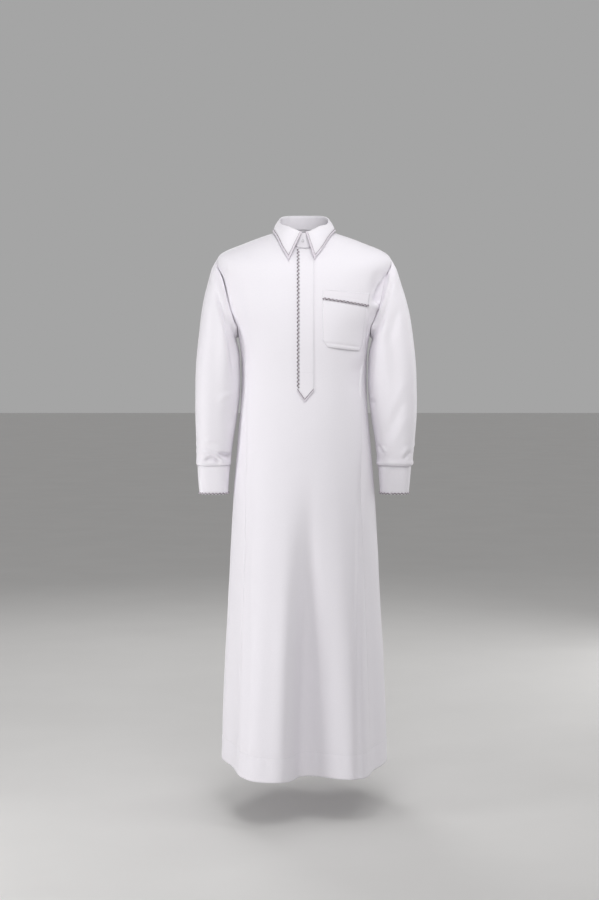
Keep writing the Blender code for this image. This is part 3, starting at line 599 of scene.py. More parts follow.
# Large folds: angle round the arm from its outermost line through the front, rise, half spread in
# degrees, height of the middle and half the length.
SLEEVE_FOLDS = {
    "left": (
        (116, 0.0060, 15, -0.285, 0.070),
        (88, -0.0050, 15, -0.270, 0.095),
        (60, 0.0045, 18, -0.380, 0.110),
        (120, -0.0045, 18, -0.500, 0.060),
        (250, -0.0055, 20, -0.260, 0.100),
        (285, 0.0050, 20, -0.360, 0.110),
    ),
    "right": (
        (112, 0.0055, 15, -0.275, 0.075),
        (84, -0.0050, 15, -0.240, 0.110),
        (65, 0.0040, 18, -0.470, 0.080),
        (130, -0.0040, 18, -0.430, 0.070),
        (246, -0.0050, 20, -0.280, 0.110),
        (280, 0.0045, 20, -0.400, 0.110),
    ),
}


def armhole(steps, side):
    """The armhole from the shoulder's tip down the front, under the arm and up the back."""
    front_place = np.maximum(TIP - steps * PLACES_IN_A_STEP, CORNER)
    back_place = np.maximum(TIP - (HOLE_ROUND - steps) * PLACES_IN_A_STEP, CORNER)
    out = np.clip(2 * (steps - HOLE_DOWN) / HOLE_FOOT - 1, -1, 1)
    foot_turn = 90 + out * (90 - seam_turn(CORNER))
    foot = torso(CORNER - SCOOP * (1 - out ** 2), side * foot_turn)
    front_edge = torso(front_place, side * seam_turn(front_place))
    back_edge = torso(back_place, side * (180 - seam_turn(back_place)))
    on_front, on_back = steps[:, None] < HOLE_DOWN, steps[:, None] > HOLE_DOWN + HOLE_FOOT
    return np.where(on_front, front_edge, np.where(on_back, back_edge, foot))


def arm_angle(steps, place):
    """The angle round the arm of each column, crowded under the arm near the armhole."""
    at_steps = (0, HOLE_DOWN, HOLE_DOWN + HOLE_FOOT, HOLE_ROUND)
    crowded = np.interp(steps, at_steps, (0, FOOT_START, 360 - FOOT_START, 360))
    return crowded + (360 * steps / HOLE_ROUND - crowded) * ease(place / EVEN_FROM)


def arm_oval(table, place, angle, name):
    """Points round the arm at a place of a table of ovals."""
    place = np.asarray(place, float)
    outer_x, outer_z, inner_x, inner_z, depth, forward, square = read_table(table, place)
    (top, above), (foot, below) = FULL_IN, FULL_OUT
    full = ease((top - outer_z) / above) * ease((outer_z - foot) / below)
    outer_x = outer_x + FULLNESS[name] * full
    outward, ahead = np.cos(np.radians(angle)), np.sin(np.radians(angle))
    reach = swell(outward, ahead, square)
    height = (outer_z + inner_z) / 2 + (outer_z - inner_z) / 2 * reach * outward
    across = (outer_x + inner_x) / 2 + (outer_x - inner_x) / 2 * reach * outward
    return np.stack((HANDS[name] * across, -forward - depth * reach * ahead, height), -1)


def sleeve_folds(points, angles, places, name):
    heights = 0.0
    for angle, rise, spread, middle, reach in SLEEVE_FOLDS[name]:
        length = bell(points[..., 2] - middle, reach)
        heights = heights + rise * length * bell(apart(angles, angle), spread)
    return lift_cloth(points, heights * ease(places / 2), closed=True)


# The creases of each sleeve, seen from the front, the back and its outer side.
SLEEVE_CREASES = {
    "right": {
        "front": (
            # A long soft valley beside the armhole, and the ridge between them.
            crease(8.5, -9.5, (-229.8, -125.8), (-223.5, -156.4), (-214.1, -186), (-199.6, -237.2),
                   (-188.7, -281), (-181.6, -325.3), (-175.3, -407.5), ends=(0.22, 0.3)),
            crease(5.2, 4, (-219, -95.2), (-212, -125.8), (-203, -160), (-192, -202.4),
                   (-183, -240.8), (-176, -281.7), lean=-0.3, ends=(0.2, 0.3)),
            # The fold in the crook of the elbow.
            crease(8, 2.6, (-226, -444), (-203, -424), (-170, -412)),
            crease(15, -2.6, (-208, -448), (-194, -478), (-196, -512)),
            # Two creases that cross above the cuff.
            crease(4.2, 6, (-263.9, -553.5), (-246.9, -565.1), (-228.6, -571.8), (-214.9, -581.9),
                   (-203.3, -594.9), ends=(0.3, 0.25)),
            crease(7, -12, (-226, -573.5), (-208.2, -573), (-186.5, -578), lean=-0.45,
                   ends=(0.3, 0.12)),
            crease(5.5, 2.2, (-261.3, -541.8), (-238.1, -535.4), (-212.2, -544.4)),
            crease(5.6, -9, (-262, -593.5), (-246, -584), (-230.4, -582.7), (-220.1, -590.5),
                   (-209.8, -597.5), lean=-0.35, ends=(0.3, 0.3)),
            crease(7, -1.6, (-262, -568), (-254, -574), (-243, -578)),
        ),
        "back": (
            crease(9, -4.8, (-218, -110), (-210, -180), (-194, -250), (-182, -330)),
            crease(11, -3.4, (-262, -400), (-232, -428), (-196, -436)),
            crease(10, 2.6, (-268, -452), (-236, -470), (-200, -468)),
            crease(5.5, -3.2, (-262, -552), (-236, -566), (-206, -588)),
            crease(5.5, 2.4, (-250, -534), (-222, -546), (-196, -566)),
        ),
        "right": (
            crease(6, -2.6, (20, -520), (0, -548), (-22, -572)),
            crease(5, 2.2, (-18, -536), (-4, -566), (14, -588)),
            crease(13, -2.6, (30, -380), (10, -420), (-16, -450)),
        ),
    },
    "left": {
        "front": (
            # The rolled ridge along the armhole, with grooves beside it.
            crease(5, 5.5, (221.1, -90.1), (219.9, -120.7), (213.1, -153.9), (204.7, -182),
                   (197.1, -202.4), (184.3, -240.8), lean=0.2, ends=(0.12, 0.3)),
            crease(6.2, -5.5, (230, -113), (220.5, -151.3), (211, -184.5), (200.5, -222.9),
                   (188, -279.2), ends=(0.2, 0.35)),
            crease(11, -4.2, (250.9, -176.8), (235.6, -222.9), (222.2, -268.9), (210.2, -309.9)),
            # Slanting folds round the elbow, from the outer side in and down.
            crease(13, -2.6, (193, -290), (198, -345), (206, -400), (206, -450)),
            crease(11, 1.6, (280, -368), (250, -404), (226, -455), (212, -505)),
            crease(10.5, -1.8, (276, -416), (246, -456), (222, -505), (203, -551)),
            crease(10, 1.6, (270, -458), (242, -520), (212, -574)),
            crease(6, -2.8, (170, -427), (177.6, -438.5), (188, -444)),
            # Small creases above the cuff.
            crease(3.6, -4.4, (190, -548), (198.6, -562.5), (206.4, -573)),
            crease(4.2, 3.6, (198.6, -548), (207, -561.2), (215, -577)),
            crease(4.2, -4.6, (279, -561), (265.9, -578), (253, -589)),
            crease(6, 2.4, (270, -550), (258, -568), (245, -583)),
        ),
        "back": (
            crease(9, -4.6, (216, -104), (208, -176), (194, -246), (180, -326)),
            crease(12, -3.4, (264, -372), (234, -400), (200, -414)),
            crease(10, 2.8, (270, -424), (240, -446), (202, -452)),
            crease(5.5, -3.2, (268, -546), (240, -562), (208, -586)),
            crease(5.5, 2.4, (252, -526), (228, -542), (198, -566)),
        ),
        "left": (
            crease(6, -2.8, (22, -516), (4, -546), (-20, -570)),
            crease(5, 2.2, (-20, -534), (-6, -562), (12, -588)),
            crease(13, -2.8, (26, -360), (4, -400), (-20, -430)),
        ),
    },
}
# How the fullness bags over the cuff: rise, height over the cuff seam and half its depth, in
# small pleats that raise and lower it by a part of itself.
BAG = {"left": (0.0030, 0.0062, 0.0048), "right": (0.0006, 0.0070, 0.0050)}
PLEATS, PLEAT_PART = 7, 0.22


def bag_over_cuff(points, angles, name):
    rise, high, reach = BAG[name]
    above = points[..., 2] - points[-1:, :, 2] - high
    pleats = 1 + PLEAT_PART * np.cos(np.radians(angles * PLEATS)) * bell(above, 2 * reach)
    return lift_cloth(points, rise * pleats * bell(above, reach), closed=True)


def down_the_arm(rings, rows):
    """The rings of an arm read between them, on smooth curves down it."""
    return read_table(rings.reshape(len(rings), -1), rows).T.reshape(len(rows), -1, 3)


steps = np.linspace(0, HOLE_ROUND, SLEEVE_COLUMNS)
key_places = (0, *range(len(ARM_RINGS)), EVEN_FROM)
key_angles = np.array([arm_angle(steps, place) for place in key_places])
for name, side in HANDS.items():
    rings = [armhole(steps, side)]
    for place, angles in zip(key_places[1:-1], key_angles[1:]):
        rings.append(arm_oval(ARM_RINGS, place, angles, name))
    rings = np.array((*rings, arm_oval(CUFF_RINGS, 0, key_angles[-1], name)))
    front_line = (lambda rows, rings=rings: down_the_arm(rings, rows)[:, FRONT_COLUMN])
    rows = even_places(front_line, len(rings) - 1, SLEEVE_STEP)
    points, angles = down_the_arm(rings, rows), read_table(key_angles, rows).T
    points, angles = handed(points, side), handed(angles, side)
    points = unevenness(sleeve_folds(points, angles, (rows - 1)[:, None], name), closed=True)
    points = bag_over_cuff(part_edges(points, closed=True), angles, name)
    points = press(points, SLEEVE_CREASES[name], columns=NEITHER, closed=True)
    seam = seam_depth(points[:1].swapaxes(0, 1)).T
    points = sink_edges(points, seam, ARMHOLE_REACH, FIRST, NEITHER, closed=True)
    points = sink_edges(points, CUFF_GROOVE, CUFF_REACH, LAST, NEITHER, closed=True)
    sleeve = make_sheet(f"sleeve_cloth_{name}", points, closed=True)
    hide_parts(f"sleeve_{name}")

# ---------------------------------------------------------------- cuffs
# A closed band of shirting, folded double over interfacing and pressed flat, on each sleeve. The
# sleeve's edge is sewn in between its two layers.

cuff_points = {}
rows = np.linspace(0, len(CUFF_RINGS) - 1, 31)[:, None]
for name, side in HANDS.items():
    points = handed(arm_oval(CUFF_RINGS, rows, key_angles[-1], name), side)
    points = part_edges(points, closed=True)
    points = sink_edges(points, CUFF_GROOVE, CUFF_REACH, FIRST, NEITHER, closed=True)
    cuff_points[name] = points
    cuff = make_sheet(f"cuff_cloth_{name}", points, closed=True, wall=FACED)
    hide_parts(f"cuff_{name}")

# ---------------------------------------------------------------- collar
# An interfaced stand rises from the neck seam and buttons at the front. The turned-down leaf
# rolls over its upper edge and ends in two points.

COLLAR_HALF = 0.063       # half width of the collar at its fold
FOLD_FRONT, FOLD_BACK = 0.075, 0.055    # how far the fold reaches forward and backward
FOLD_SIDE_Z, FOLD_LEVEL = 0.030, 0.050  # its height at the sides, and the height it levels off at
FOLD_SLOPE = 0.50
# Where the fold stands up from the straight, by how much, and the half spread in degrees.
FOLD_CORNER, FOLD_RISE, FOLD_SPREAD = 38, 0.0085, 17
STAND_OVERLAP = 18        # degrees by which each end of the stand passes the centre front
UNDER_LAP, LAP_EASE = 0.0022, 36    # how far the lower end lies inside, and over which degrees
ROLL = 0.0023             # outer radius of the leaf's roll over the stand
LEAF_ENDS = (3.2, 354.9)  # the turns of its two front edges
LEAF_LIFT, LEAF_BULGE, LEAF_WALL = 0.0036, 0.0025, 0.0013    # over the shoulders, its bow, wall
LEAF_SWAY = -0.0068       # how far both points are moved to one side
# The leaf's outer edge from above, out and forward: from its point to the centre back, and one
# row past it, which keeps the curve level there.
LEAF_EDGE = np.array((
    (0.0318, 0.0965), (0.0570, 0.0700), (0.0785, 0.0100), (0.0585, -0.0540), (0.0000, -0.0730),
    (-0.0585, -0.0540),
))


def fold_line(turn):
    """The upper edge of the stand."""
    across, ahead = np.sin(np.radians(turn)), np.cos(np.radians(turn))
    behind = -np.where(ahead > 0, FOLD_FRONT, FOLD_BACK) * ahead
    levelled = FOLD_LEVEL - FOLD_SIDE_Z
    up_front = FOLD_SLOPE * behind
    up_back = levelled * np.tanh(FOLD_SLOPE * behind / levelled)
    corner = bell(np.abs(apart(turn, 0)) - FOLD_CORNER, FOLD_SPREAD)
    height = FOLD_SIDE_Z + np.where(behind > 0, up_back, up_front) + FOLD_RISE * corner
    return np.stack((COLLAR_HALF * across, behind, height), -1)


def stand_surface(part, turn):
    """The stand's outer face: part is 0 at the neck seam and 1 at its upper edge."""
    part = np.asarray(part, float)[..., None]
    return torso(np.float64(NECK), turn) * (1 - part) + fold_line(turn) * part


def surface_way(surface, first, second, step=0.02):
    """The unit way out of a surface whose first value rises and whose second turns."""
    rise = surface(first + step, second) - surface(first - step, second)
    turn = surface(first, second + 0.5) - surface(first, second - 0.5)
    return unit(np.cross(turn, rise))


def flat_area(first, second):
    return first[..., 0] * second[..., 1] - second[..., 0] * first[..., 1]


def find_on_torso(goal, place, turn):
    """The place and turn of the torso's points that lie over the goals, seen from above."""
    small_place, small_turn = 0.001, 0.05
    for _ in range(25):
        here = torso(place, turn)[..., :2]
        by_place = (torso(place + small_place, turn)[..., :2] - here) / small_place
        by_turn = (torso(place, turn + small_turn)[..., :2] - here) / small_turn
        area = flat_area(by_place, by_turn)
        more = flat_area(goal - here, by_turn) / area
        turned = flat_area(by_place, goal - here) / area
        place = np.minimum(place + np.clip(more, -0.5, 0.5), NECK)
        turn = turn + np.clip(turned, -10, 10)
    return place, turn


def leaf_edge(turn):
    """The leaf's outer edge, above the shoulders."""
    turn = np.asarray(turn, float)
    start, end = LEAF_ENDS
    on_left = turn <= 180
    from_point = np.where(on_left, (turn - start) / (180 - start), (end - turn) / (end - 180))
    out, forward = read_table(LEAF_EDGE, from_point * (len(LEAF_EDGE) - 2))
    sway = LEAF_SWAY * np.maximum(0.0, 1 - 2 * from_point)
    goal = np.stack((np.where(on_left, out, -out) + sway, -forward), -1)
    start_place = np.full(turn.shape, NECK - 0.5)
    place, turn = find_on_torso(goal, start_place, np.where(on_left, turn, turn - 360))
    inside = np.minimum(place, NECK - 0.02)
    return torso(place, turn) + surface_way(torso, inside, turn, 0.01) * (LEAF_LIFT + LEAF_WALL)


def leaf_surface(part, turn):
    """The leaf's upper face outside its roll: part is 0 at the roll and 1 at the outer edge."""
    part, turn = np.broadcast_arrays(np.asarray(part, float), np.asarray(turn, float))
    way = surface_way(stand_surface, np.ones(turn.shape), turn)
    start = fold_line(turn) + way * (2 * ROLL - LEAF_WALL)
    mix = part[..., None]
    bow = LEAF_BULGE * np.sin(math.pi * mix)
    return start * (1 - mix) + leaf_edge(turn) * mix + way * bow


turns = np.arange(-STAND_OVERLAP, 360 + STAND_OVERLAP + 1, 2.0)
parts = np.linspace(0, 1, 13)
inside = UNDER_LAP * ease((turns - 360 + STAND_OVERLAP + LAP_EASE) / LAP_EASE)
points = stand_surface(parts[:, None], np.broadcast_to(turns, (len(parts), len(turns))))
stand_points = part_edges(lift_cloth(points, -inside))
stand = make_sheet("collar_stand_cloth", stand_points, wall=LEAF_WALL)
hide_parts("collar_stand")

# The leaf is rolled over the stand's upper edge, and then laid down to its outer edge.
turns = np.linspace(*LEAF_ENDS, 181)
way = surface_way(stand_surface, np.ones(turns.shape), turns)
rise = unit(fold_line(turns) - stand_surface(0 * turns, turns))
middle = fold_line(turns) + way * (ROLL - LEAF_WALL)
rows = []
for angle in np.linspace(math.pi, 0, 9):
    rows.append(middle + (way * math.cos(angle) + rise * math.sin(angle)) * ROLL)
rows += [leaf_surface(part, turns) for part in np.linspace(0, 1, 17)[1:]]
leaf = make_sheet("collar_leaf_cloth", np.array(rows)[:, ::-1], wall=LEAF_WALL)
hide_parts("collar_leaf")

# ---------------------------------------------------------------- collar piping
# A narrow grey ribbed tape is sewn along the leaf's front edges and its outer edge, mitred at both
# points, and a fine dark cord covers the line where the tape meets the leaf.

LAY = 0.0006              # gap under what lies on another piece
TAPE, TAPE_WALL, TAPE_WIDTH = 0.0009, 0.00054, 0.0046
FINE_CORD, CORD_SIDES = 0.00055, 6    # radius, and the faces round a cord or yarn
MITRE_PART = 0.9          # how far down the front edge the mitre's width is taken


def trim_material(name, dark, light, rib, direction="DIAGONAL", reads="UV"):
    """Yarn or ribbed tape: fine ribs across it, in colour and in relief."""
    made, _, ribs = toned_material(
        name, dark, light, reads, bands(rib, 0.8, 2.0, direction),
        {"Roughness": 0.62, "Specular IOR Level": 0.35},
    )
    add_relief(made.node_tree, ribs, 0.6, 0.00012)
    return made


grey_tape = trim_material(
    "grey_ribbed_tape", (0.600, 0.556, 0.615), (0.820, 0.775, 0.835), 0.0009, "X"
)
dark_yarn = trim_material("charcoal_yarn", (0.042, 0.018, 0.032), (0.112, 0.058, 0.090), 0.0004)
white_yarn = trim_material("white_yarn", (0.780, 0.755, 0.797), (0.910, 0.884, 0.930), 0.0004)


def lay_cord(bm, route, outs, across, above, finish=0):
    """Lays a cord of an oval section along a route, almost closed at its drawn-in ends."""
    size = np.ones(len(route))
    size[[0, -1]], size[[1, -2]] = 0.02, 0.75
    ahead = unit(np.gradient(route, axis=0))
    beside = unit(np.cross(ahead, outs))
    up = np.cross(beside, ahead)
    turns = np.linspace(0, 2 * math.pi, CORD_SIDES + 1)
    ring = (beside * across * size[:, None])[:, None] * np.cos(turns)[:, None]
    ring = ring + (up * above * size[:, None])[:, None] * np.sin(turns)[:, None]
    lay_grid(bm, route[:, None] + ring, True, finish)


def tape_cover(step, beside):
    """How much of a step over the leaf the tape covers, where it runs beside another step."""
    along = unit(beside)
    across = step - along * (step * along).sum(-1, keepdims=True)
    return TAPE_WIDTH / np.linalg.norm(across, axis=-1)


def tape_turn(part, end):
    """The degrees that the tape covers along one of the leaf's front edges."""
    across = leaf_surface(part, end + 0.5) - leaf_surface(part, end - 0.5)
    return tape_cover(across, leaf_surface(part + 0.02, end) - leaf_surface(part - 0.02, end))


def tape_part(turn):
    """The part of the leaf's depth that the tape covers along its outer edge."""
    down = (leaf_surface(1, turn) - leaf_surface(0.98, turn)) / 0.02
    return tape_cover(down, leaf_surface(1, turn + 0.5) - leaf_surface(1, turn - 0.5))


# The tape runs down one front edge, round the outer edge and up the other front edge.
leaf_start, leaf_end = LEAF_ENDS
first = leaf_start + tape_turn(MITRE_PART, leaf_start)
last = leaf_end - tape_turn(MITRE_PART, leaf_end)
down = np.append(np.linspace(0.0, 0.96, 26), 0.985)
up = down[::-1]
outer, inner = np.linspace(leaf_start, leaf_end, 220), np.linspace(first, last, 220)
outer_turn = np.concatenate((0 * down + leaf_start, outer, 0 * up + leaf_end))
inner_turn = np.concatenate((
    leaf_start + tape_turn(down, leaf_start), inner, leaf_end - tape_turn(up, leaf_end),
))
outer_part = np.concatenate((down, np.ones(len(outer)), up))
inner_part = np.concatenate((
    down * (1 - tape_part(first)), 1 - tape_part(inner), up * (1 - tape_part(last)),
))


def along_tape(mix, lift):
    """A line along the tape, from its outer edge at 0 to its inner edge at 1."""
    part = outer_part * (1 - mix) + inner_part * mix
    turn = outer_turn * (1 - mix) + inner_turn * mix
    ways = -surface_way(leaf_surface, part, turn)
    return leaf_surface(part, turn) + ways * lift, ways


def tape_rise(mix):
    """The tape's face over what it lies on: rounded from edge to edge."""
    return TAPE * (0.72 + 0.28 * np.sin(math.pi * mix))


points = np.array([along_tape(mix, LAY + tape_rise(mix))[0] for mix in np.linspace(0, 1, 7)])
tape = make_sheet("collar_tape", points[:, ::-1], wall=TAPE_WALL, material=grey_tape)
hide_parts("collar_piping")

# The cord on the inner line is one length. The dark cord on the edge is painted shadow, the shade
# that the leaf's front edges cast on the stand, so it is laid on the two fronts alone.
front_length = len(down) + 3
for name, mix, stretches in (
    ("collar_inner_cord", 1.03, (slice(None),)),
    # a dark cord as painted shadow along the leaf's two front edges
    ("collar_edge_painted_shadow", 0.03, (slice(front_length), slice(-front_length, None))),
):
    route, outs = along_tape(mix, LAY + TAPE * 0.75)
    bm = bmesh.new()
    for stretch in stretches:
        lay_cord(bm, route[stretch], outs[stretch], FINE_CORD, FINE_CORD)
    cord = add_piece(name, bm, (dark_yarn,))

# ---------------------------------------------------------------- stitching
# Fine white cotton thread, ten stitches to the inch, each lying in the dent that it pulls: round
# the hem, along the stand's upper edge and round the cuffs.

STITCH, STITCH_PITCH = 0.0019, 0.0027
STITCH_WIDE, STITCH_HIGH, STITCH_UP = 0.00030, 0.00022, 0.6    # half sizes, part of it in sight
thread = trim_material(
    "white_thread", (0.600, 0.590, 0.620), (0.820, 0.810, 0.840), 0.0006, reads="Object"
)


def along_line(line, runs, carried=None):
    """Points at given distances along a line, or what each of its points carries."""
    values = line if carried is None else carried
    return np.stack([np.interp(runs, run_along(line), value) for value in values.T], -1)


def sew_stitches(name, lines):
    """Running stitches along lines of points with their ways out."""
    bm = bmesh.new()
    for line, outs in lines:
        middles = np.arange(STITCH_PITCH, run_along(line)[-1] - STITCH_PITCH / 2, STITCH_PITCH)
        places, half = along_line(line, middles), STITCH / 2
        ahead = unit(along_line(line, middles + half) - along_line(line, middles - half))
        nearest = [int(np.argmin(np.linalg.norm(line - place, axis=1))) for place in places]
        for place, way, out in zip(places, ahead, outs[nearest]):
            sides = way * half, np.cross(out, way) * STITCH_WIDE, out * STITCH_HIGH
            turned = Matrix(sides).transposed().to_4x4()
            turned.translation = place + out * STITCH_HIGH * STITCH_UP
            bmesh.ops.create_icosphere(bm, subdivisions=1, radius=1.0, matrix=turned)
    sewn = add_piece(name, bm, (thread,))


def across_grid(points, place, axis, closed=False):
    """A line across a grid of points at a place between its rows or columns, with the ways out."""
    low = int(place)
    part = place - low
    return [
        np.take(grid, low, axis) * (1 - part) + np.take(grid, low + 1, axis) * part
        for grid in (points, way_out(points, closed))
    ]


def level_line(points, height):
    """The line at one height across a grid whose rows rise, with the ways out."""
    columns = np.arange(points.shape[1])
    places = np.array([np.interp(height, line, np.arange(len(line))) for line in points[..., 2].T])
    low = np.minimum(places.astype(int), len(points) - 2)
    part = (places - low)[:, None]
    line = points[low, columns] * (1 - part) + points[low + 1, columns] * part
    return line, way_out(points)[low, columns]


sew_stitches("hem_stitches", [level_line(grid, -hem_line) for grid in hem_grids])
sew_stitches("stand_stitches", [across_grid(stand_points, 0.8, 0)])
sew_stitches("cuff_stitches", [across_grid(grid, 2.2, 0, True) for grid in cuff_points.values()])

# ---------------------------------------------------------------- collar button
# A small pearly white button, sewn to the stand's upper end with white thread and buttoned through
# the other. Two bars of the thread cover its four holes.

BUTTON_RADIUS, BUTTON_THICK = 0.0040, 0.0018
BUTTON_TURN, BUTTON_HEIGHT = -3.0, 0.47    # where it sits on the stand
HOLE_OFF, HOLE_RADIUS, BAR_HIGH = 0.0009, 0.00042, 0.0003

pearl, *_ = toned_material(
    "pearly_button", (0.62, 0.61, 0.64), (0.84, 0.83, 0.86), "Object",
    ("ShaderNodeTexNoise", {"Scale": 420.0, "Detail": 3.0, "Distortion": 1.2}, {}),
    {"Roughness": 0.22, "Coat Weight": 0.4, "Coat Roughness": 0.12},
)

turn, height = np.float64(BUTTON_TURN), np.float64(BUTTON_HEIGHT)
out = surface_way(stand_surface, height, turn)
turned = Vector(out).to_track_quat("Z", "Y").to_matrix().to_4x4()
turned.translation = stand_surface(height, turn) + out * LAY

# Its section from the middle of the face out over the rim to the middle of the back.
SECTION = (
    (0.0, 0.62), (0.30, 0.62), (0.52, 0.64), (0.62, 0.80), (0.74, 0.98), (0.86, 1.00),
    (0.96, 0.86), (1.0, 0.55), (0.97, 0.24), (0.84, 0.04), (0.50, 0.0), (0.0, 0.0),
)
bm = bmesh.new()
verts = [bm.verts.new((x * BUTTON_RADIUS, 0, z * BUTTON_THICK)) for x, z in SECTION]
edges = [bm.edges.new(pair) for pair in zip(verts, verts[1:])]
bmesh.ops.spin(
    bm, geom=verts + edges, cent=(0, 0, 0), axis=(0, 0, 1), angle=2 * math.pi, steps=40,
    use_merge=True,
)
bmesh.ops.remove_doubles(bm, verts=bm.verts, dist=1e-6)
bmesh.ops.recalc_face_normals(bm, faces=bm.faces)
bmesh.ops.transform(bm, matrix=turned, verts=bm.verts)
button = add_piece("collar_button_disc", bm, (pearl,))
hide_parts("collar_button")

bm = bmesh.new()
along = np.linspace(-1, 1, 9)
high = BUTTON_THICK * (0.50 + 0.36 * np.cos(1.2 * along) ** 2)
for side in (-1, 1):
    line = np.stack((1.6 * HOLE_OFF * along, np.full(9, side * HOLE_OFF), high), -1)
    lay_cord(bm, line, np.tile((0.0, 0, 1), (9, 1)), HOLE_RADIUS, BAR_HIGH)
bmesh.ops.transform(bm, matrix=turned, verts=bm.verts)
button_thread = add_piece("collar_button_thread", bm, (thread,))

# ---------------------------------------------------------------- cuff braid
# A fine flat braid of two dark and two white yarns, sewn round each cuff's lower edge. Each yarn
# passes over one and under the next.

TWO_AND_TWO = (0, 0, 1, 1)    # the yarns in order, of the materials dark, white
CUFF_BRAID, CUFF_PITCH, CUFF_HIGH = 0.0042, 0.0090, 0.6    # width, pitch, height in its width
SWING_FLAT, OVER_STEEP = 0.96, 2.2    # how straight the yarns cross, and how quickly they rise
# A yarn's radius in the braid's width, its flattening, and how far it rises and falls.
YARN_PART, YARN_WIDE, YARN_HIGH, YARN_RISE = 0.15, 1.25, 0.30, 0.24


def make_braid(name, route, outs, width, high, pitch):
    """A flat braid of four yarns along a route."""
    bm = bmesh.new()
    run = run_along(route)
    periods = max(1, round(run[-1] / pitch))
    count = periods * 12 + 1
    runs = np.linspace(0, run[-1], count)
    middle, outs = along_line(route, runs), unit(along_line(route, runs, outs))
    beside = np.cross(unit(np.gradient(middle, axis=0)), outs)
    radius = width * YARN_PART
    for yarn, finish in enumerate(TWO_AND_TWO):
        beat = (np.linspace(0, 4 * periods, count) + yarn) * math.pi / 2
        swing = np.arcsin(SWING_FLAT * np.sin(beat)) / math.asin(SWING_FLAT)
        over = -np.cos(4 * beat) * np.clip(OVER_STEEP * np.cos(beat), -1, 1)
        line = middle + beside * (swing * (width / 2 - radius))[:, None]
        line = line + outs * ((over * YARN_RISE + 0.5) * high)[:, None]
        lay_cord(bm, line, outs, radius * YARN_WIDE, high * YARN_HIGH, finish)
    return add_piece(name, bm, (dark_yarn, white_yarn))


for name, grid in cuff_points.items():
    outs = way_out(grid, closed=True)[-1]
    route = grid[-1] + outs * LAY + np.array((0, 0, CUFF_BRAID / 2))
    high = CUFF_BRAID * CUFF_HIGH
    cuff_braid = make_braid(f"cuff_braid_{name}", route, outs, CUFF_BRAID, high, CUFF_PITCH)
    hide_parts(f"cuff_cord_{name}")

# ---------------------------------------------------------------- placket
# An interfaced strip of shirting over the neck slit, folded at both sides and pointed at its foot.
# A braid is sewn down its open edge and grey tape along its point.

PLACKET_LEFT, PLACKET_MIDDLE, PLACKET_RIGHT = -0.0185, 0.0010, 0.0245
PLACKET_TOP, PLACKET_CORNER, PLACKET_TIP = -0.0490, -0.4110, -0.4390
PLACKET_LIFT, PLACKET_WALL = 0.0018, 0.0008    # its face is over the slit's turnings
EDGE_ROUND, ROUND_REACH = 0.0007, 0.03         # how its two folded edges drop
POINT_TAPE = 0.0080                            # the tape's height along the point
BRAID_WIDTH, BRAID_THICK, BRAID_PITCH = 0.0062, 0.0014, 0.0100
CLOSED_EDGE, BAR = 2.35, -0.3630    # columns in from the closed edge, and the bar's height
SLOPE_REACH = 0.004                 # over which the front's slope is taken


def tree_of(points):
    """A search tree over a grid of points."""
    rows, columns = points.shape[:2]
    spots = np.arange(rows * columns).reshape(rows, columns)
    faces = np.stack((spots[:-1, :-1], spots[:-1, 1:], spots[1:, 1:], spots[1:, :-1]), -1)
    return BVHTree.FromPolygons(points.reshape(-1, 3).tolist(), faces.reshape(-1, 4).tolist())


front_tree = tree_of(front_points)


def find_on_front(x, z):
    """The front's point at one place, seen from the front."""
    return front_tree.ray_cast(Vector((x, -1, z)), Vector((0, 1, 0)))[0]


def front_ways(points):
    """The front's way out at single points, from its slope over a short reach."""
    ways = np.empty(points.shape)
    for spot in np.ndindex(points.shape[:-1]):
        x, _, z = points[spot]
        near = []
        for dx, dz in ((1, 0), (-1, 0), (0, 1), (0, -1)):
            found = find_on_front(x + dx * SLOPE_REACH, z + dz * SLOPE_REACH)
            near.append(found or Vector(points[spot]))
        ways[spot] = (near[0] - near[1]).cross(near[2] - near[3]).normalized()
    return ways


def above_front(across, height, lift):
    """Points a little above the front, at places seen from the front."""
    across, height, lift = np.broadcast_arrays(across, height, lift)
    points = np.empty(across.shape + (3,))
    for spot in np.ndindex(across.shape):
        points[spot] = find_on_front(across[spot], height[spot])
    ways = way_out(points) if points.ndim == 3 else front_ways(points)
    return points + ways * lift[..., None]


def placket_across(part):
    return np.interp(part, (0, 0.5, 1), (PLACKET_LEFT, PLACKET_MIDDLE, PLACKET_RIGHT))


def placket_foot(part):
    return PLACKET_TIP + (PLACKET_CORNER - PLACKET_TIP) * np.abs(part * 2 - 1)


parts = np.union1d(np.linspace(0, 1, 13), (0.02, 0.98))
rows = np.union1d(np.linspace(0, 1, 110), (0.003, 0.997))
foot = placket_foot(parts)
heights = foot + (PLACKET_TOP - foot) * rows[:, None]
rounding = EDGE_ROUND * (bell(parts, ROUND_REACH) + bell(1 - parts, ROUND_REACH))
placket_points = above_front(placket_across(parts), heights, PLACKET_LIFT - rounding)
placket = make_sheet("placket_cloth", placket_points, wall=PLACKET_WALL)
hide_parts("placket")

# The grey tape along its point, with a dark cord on the tape's inner line.
parts = np.linspace(0, 1, 25)
across, foot = placket_across(parts), placket_foot(parts)
mixes = np.linspace(0, 1, 6)[:, None]
points = above_front(across, foot + POINT_TAPE * mixes, PLACKET_LIFT + tape_rise(mixes))
point_tape = make_sheet("placket_tape", points, wall=TAPE_WALL, material=grey_tape)
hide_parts("placket_piping")
bm = bmesh.new()
line = above_front(across, foot + POINT_TAPE, PLACKET_LIFT + TAPE * 0.8)
lay_cord(bm, line, front_ways(line), FINE_CORD, FINE_CORD)
point_cord = add_piece("placket_fine_cord", bm, (dark_yarn,))

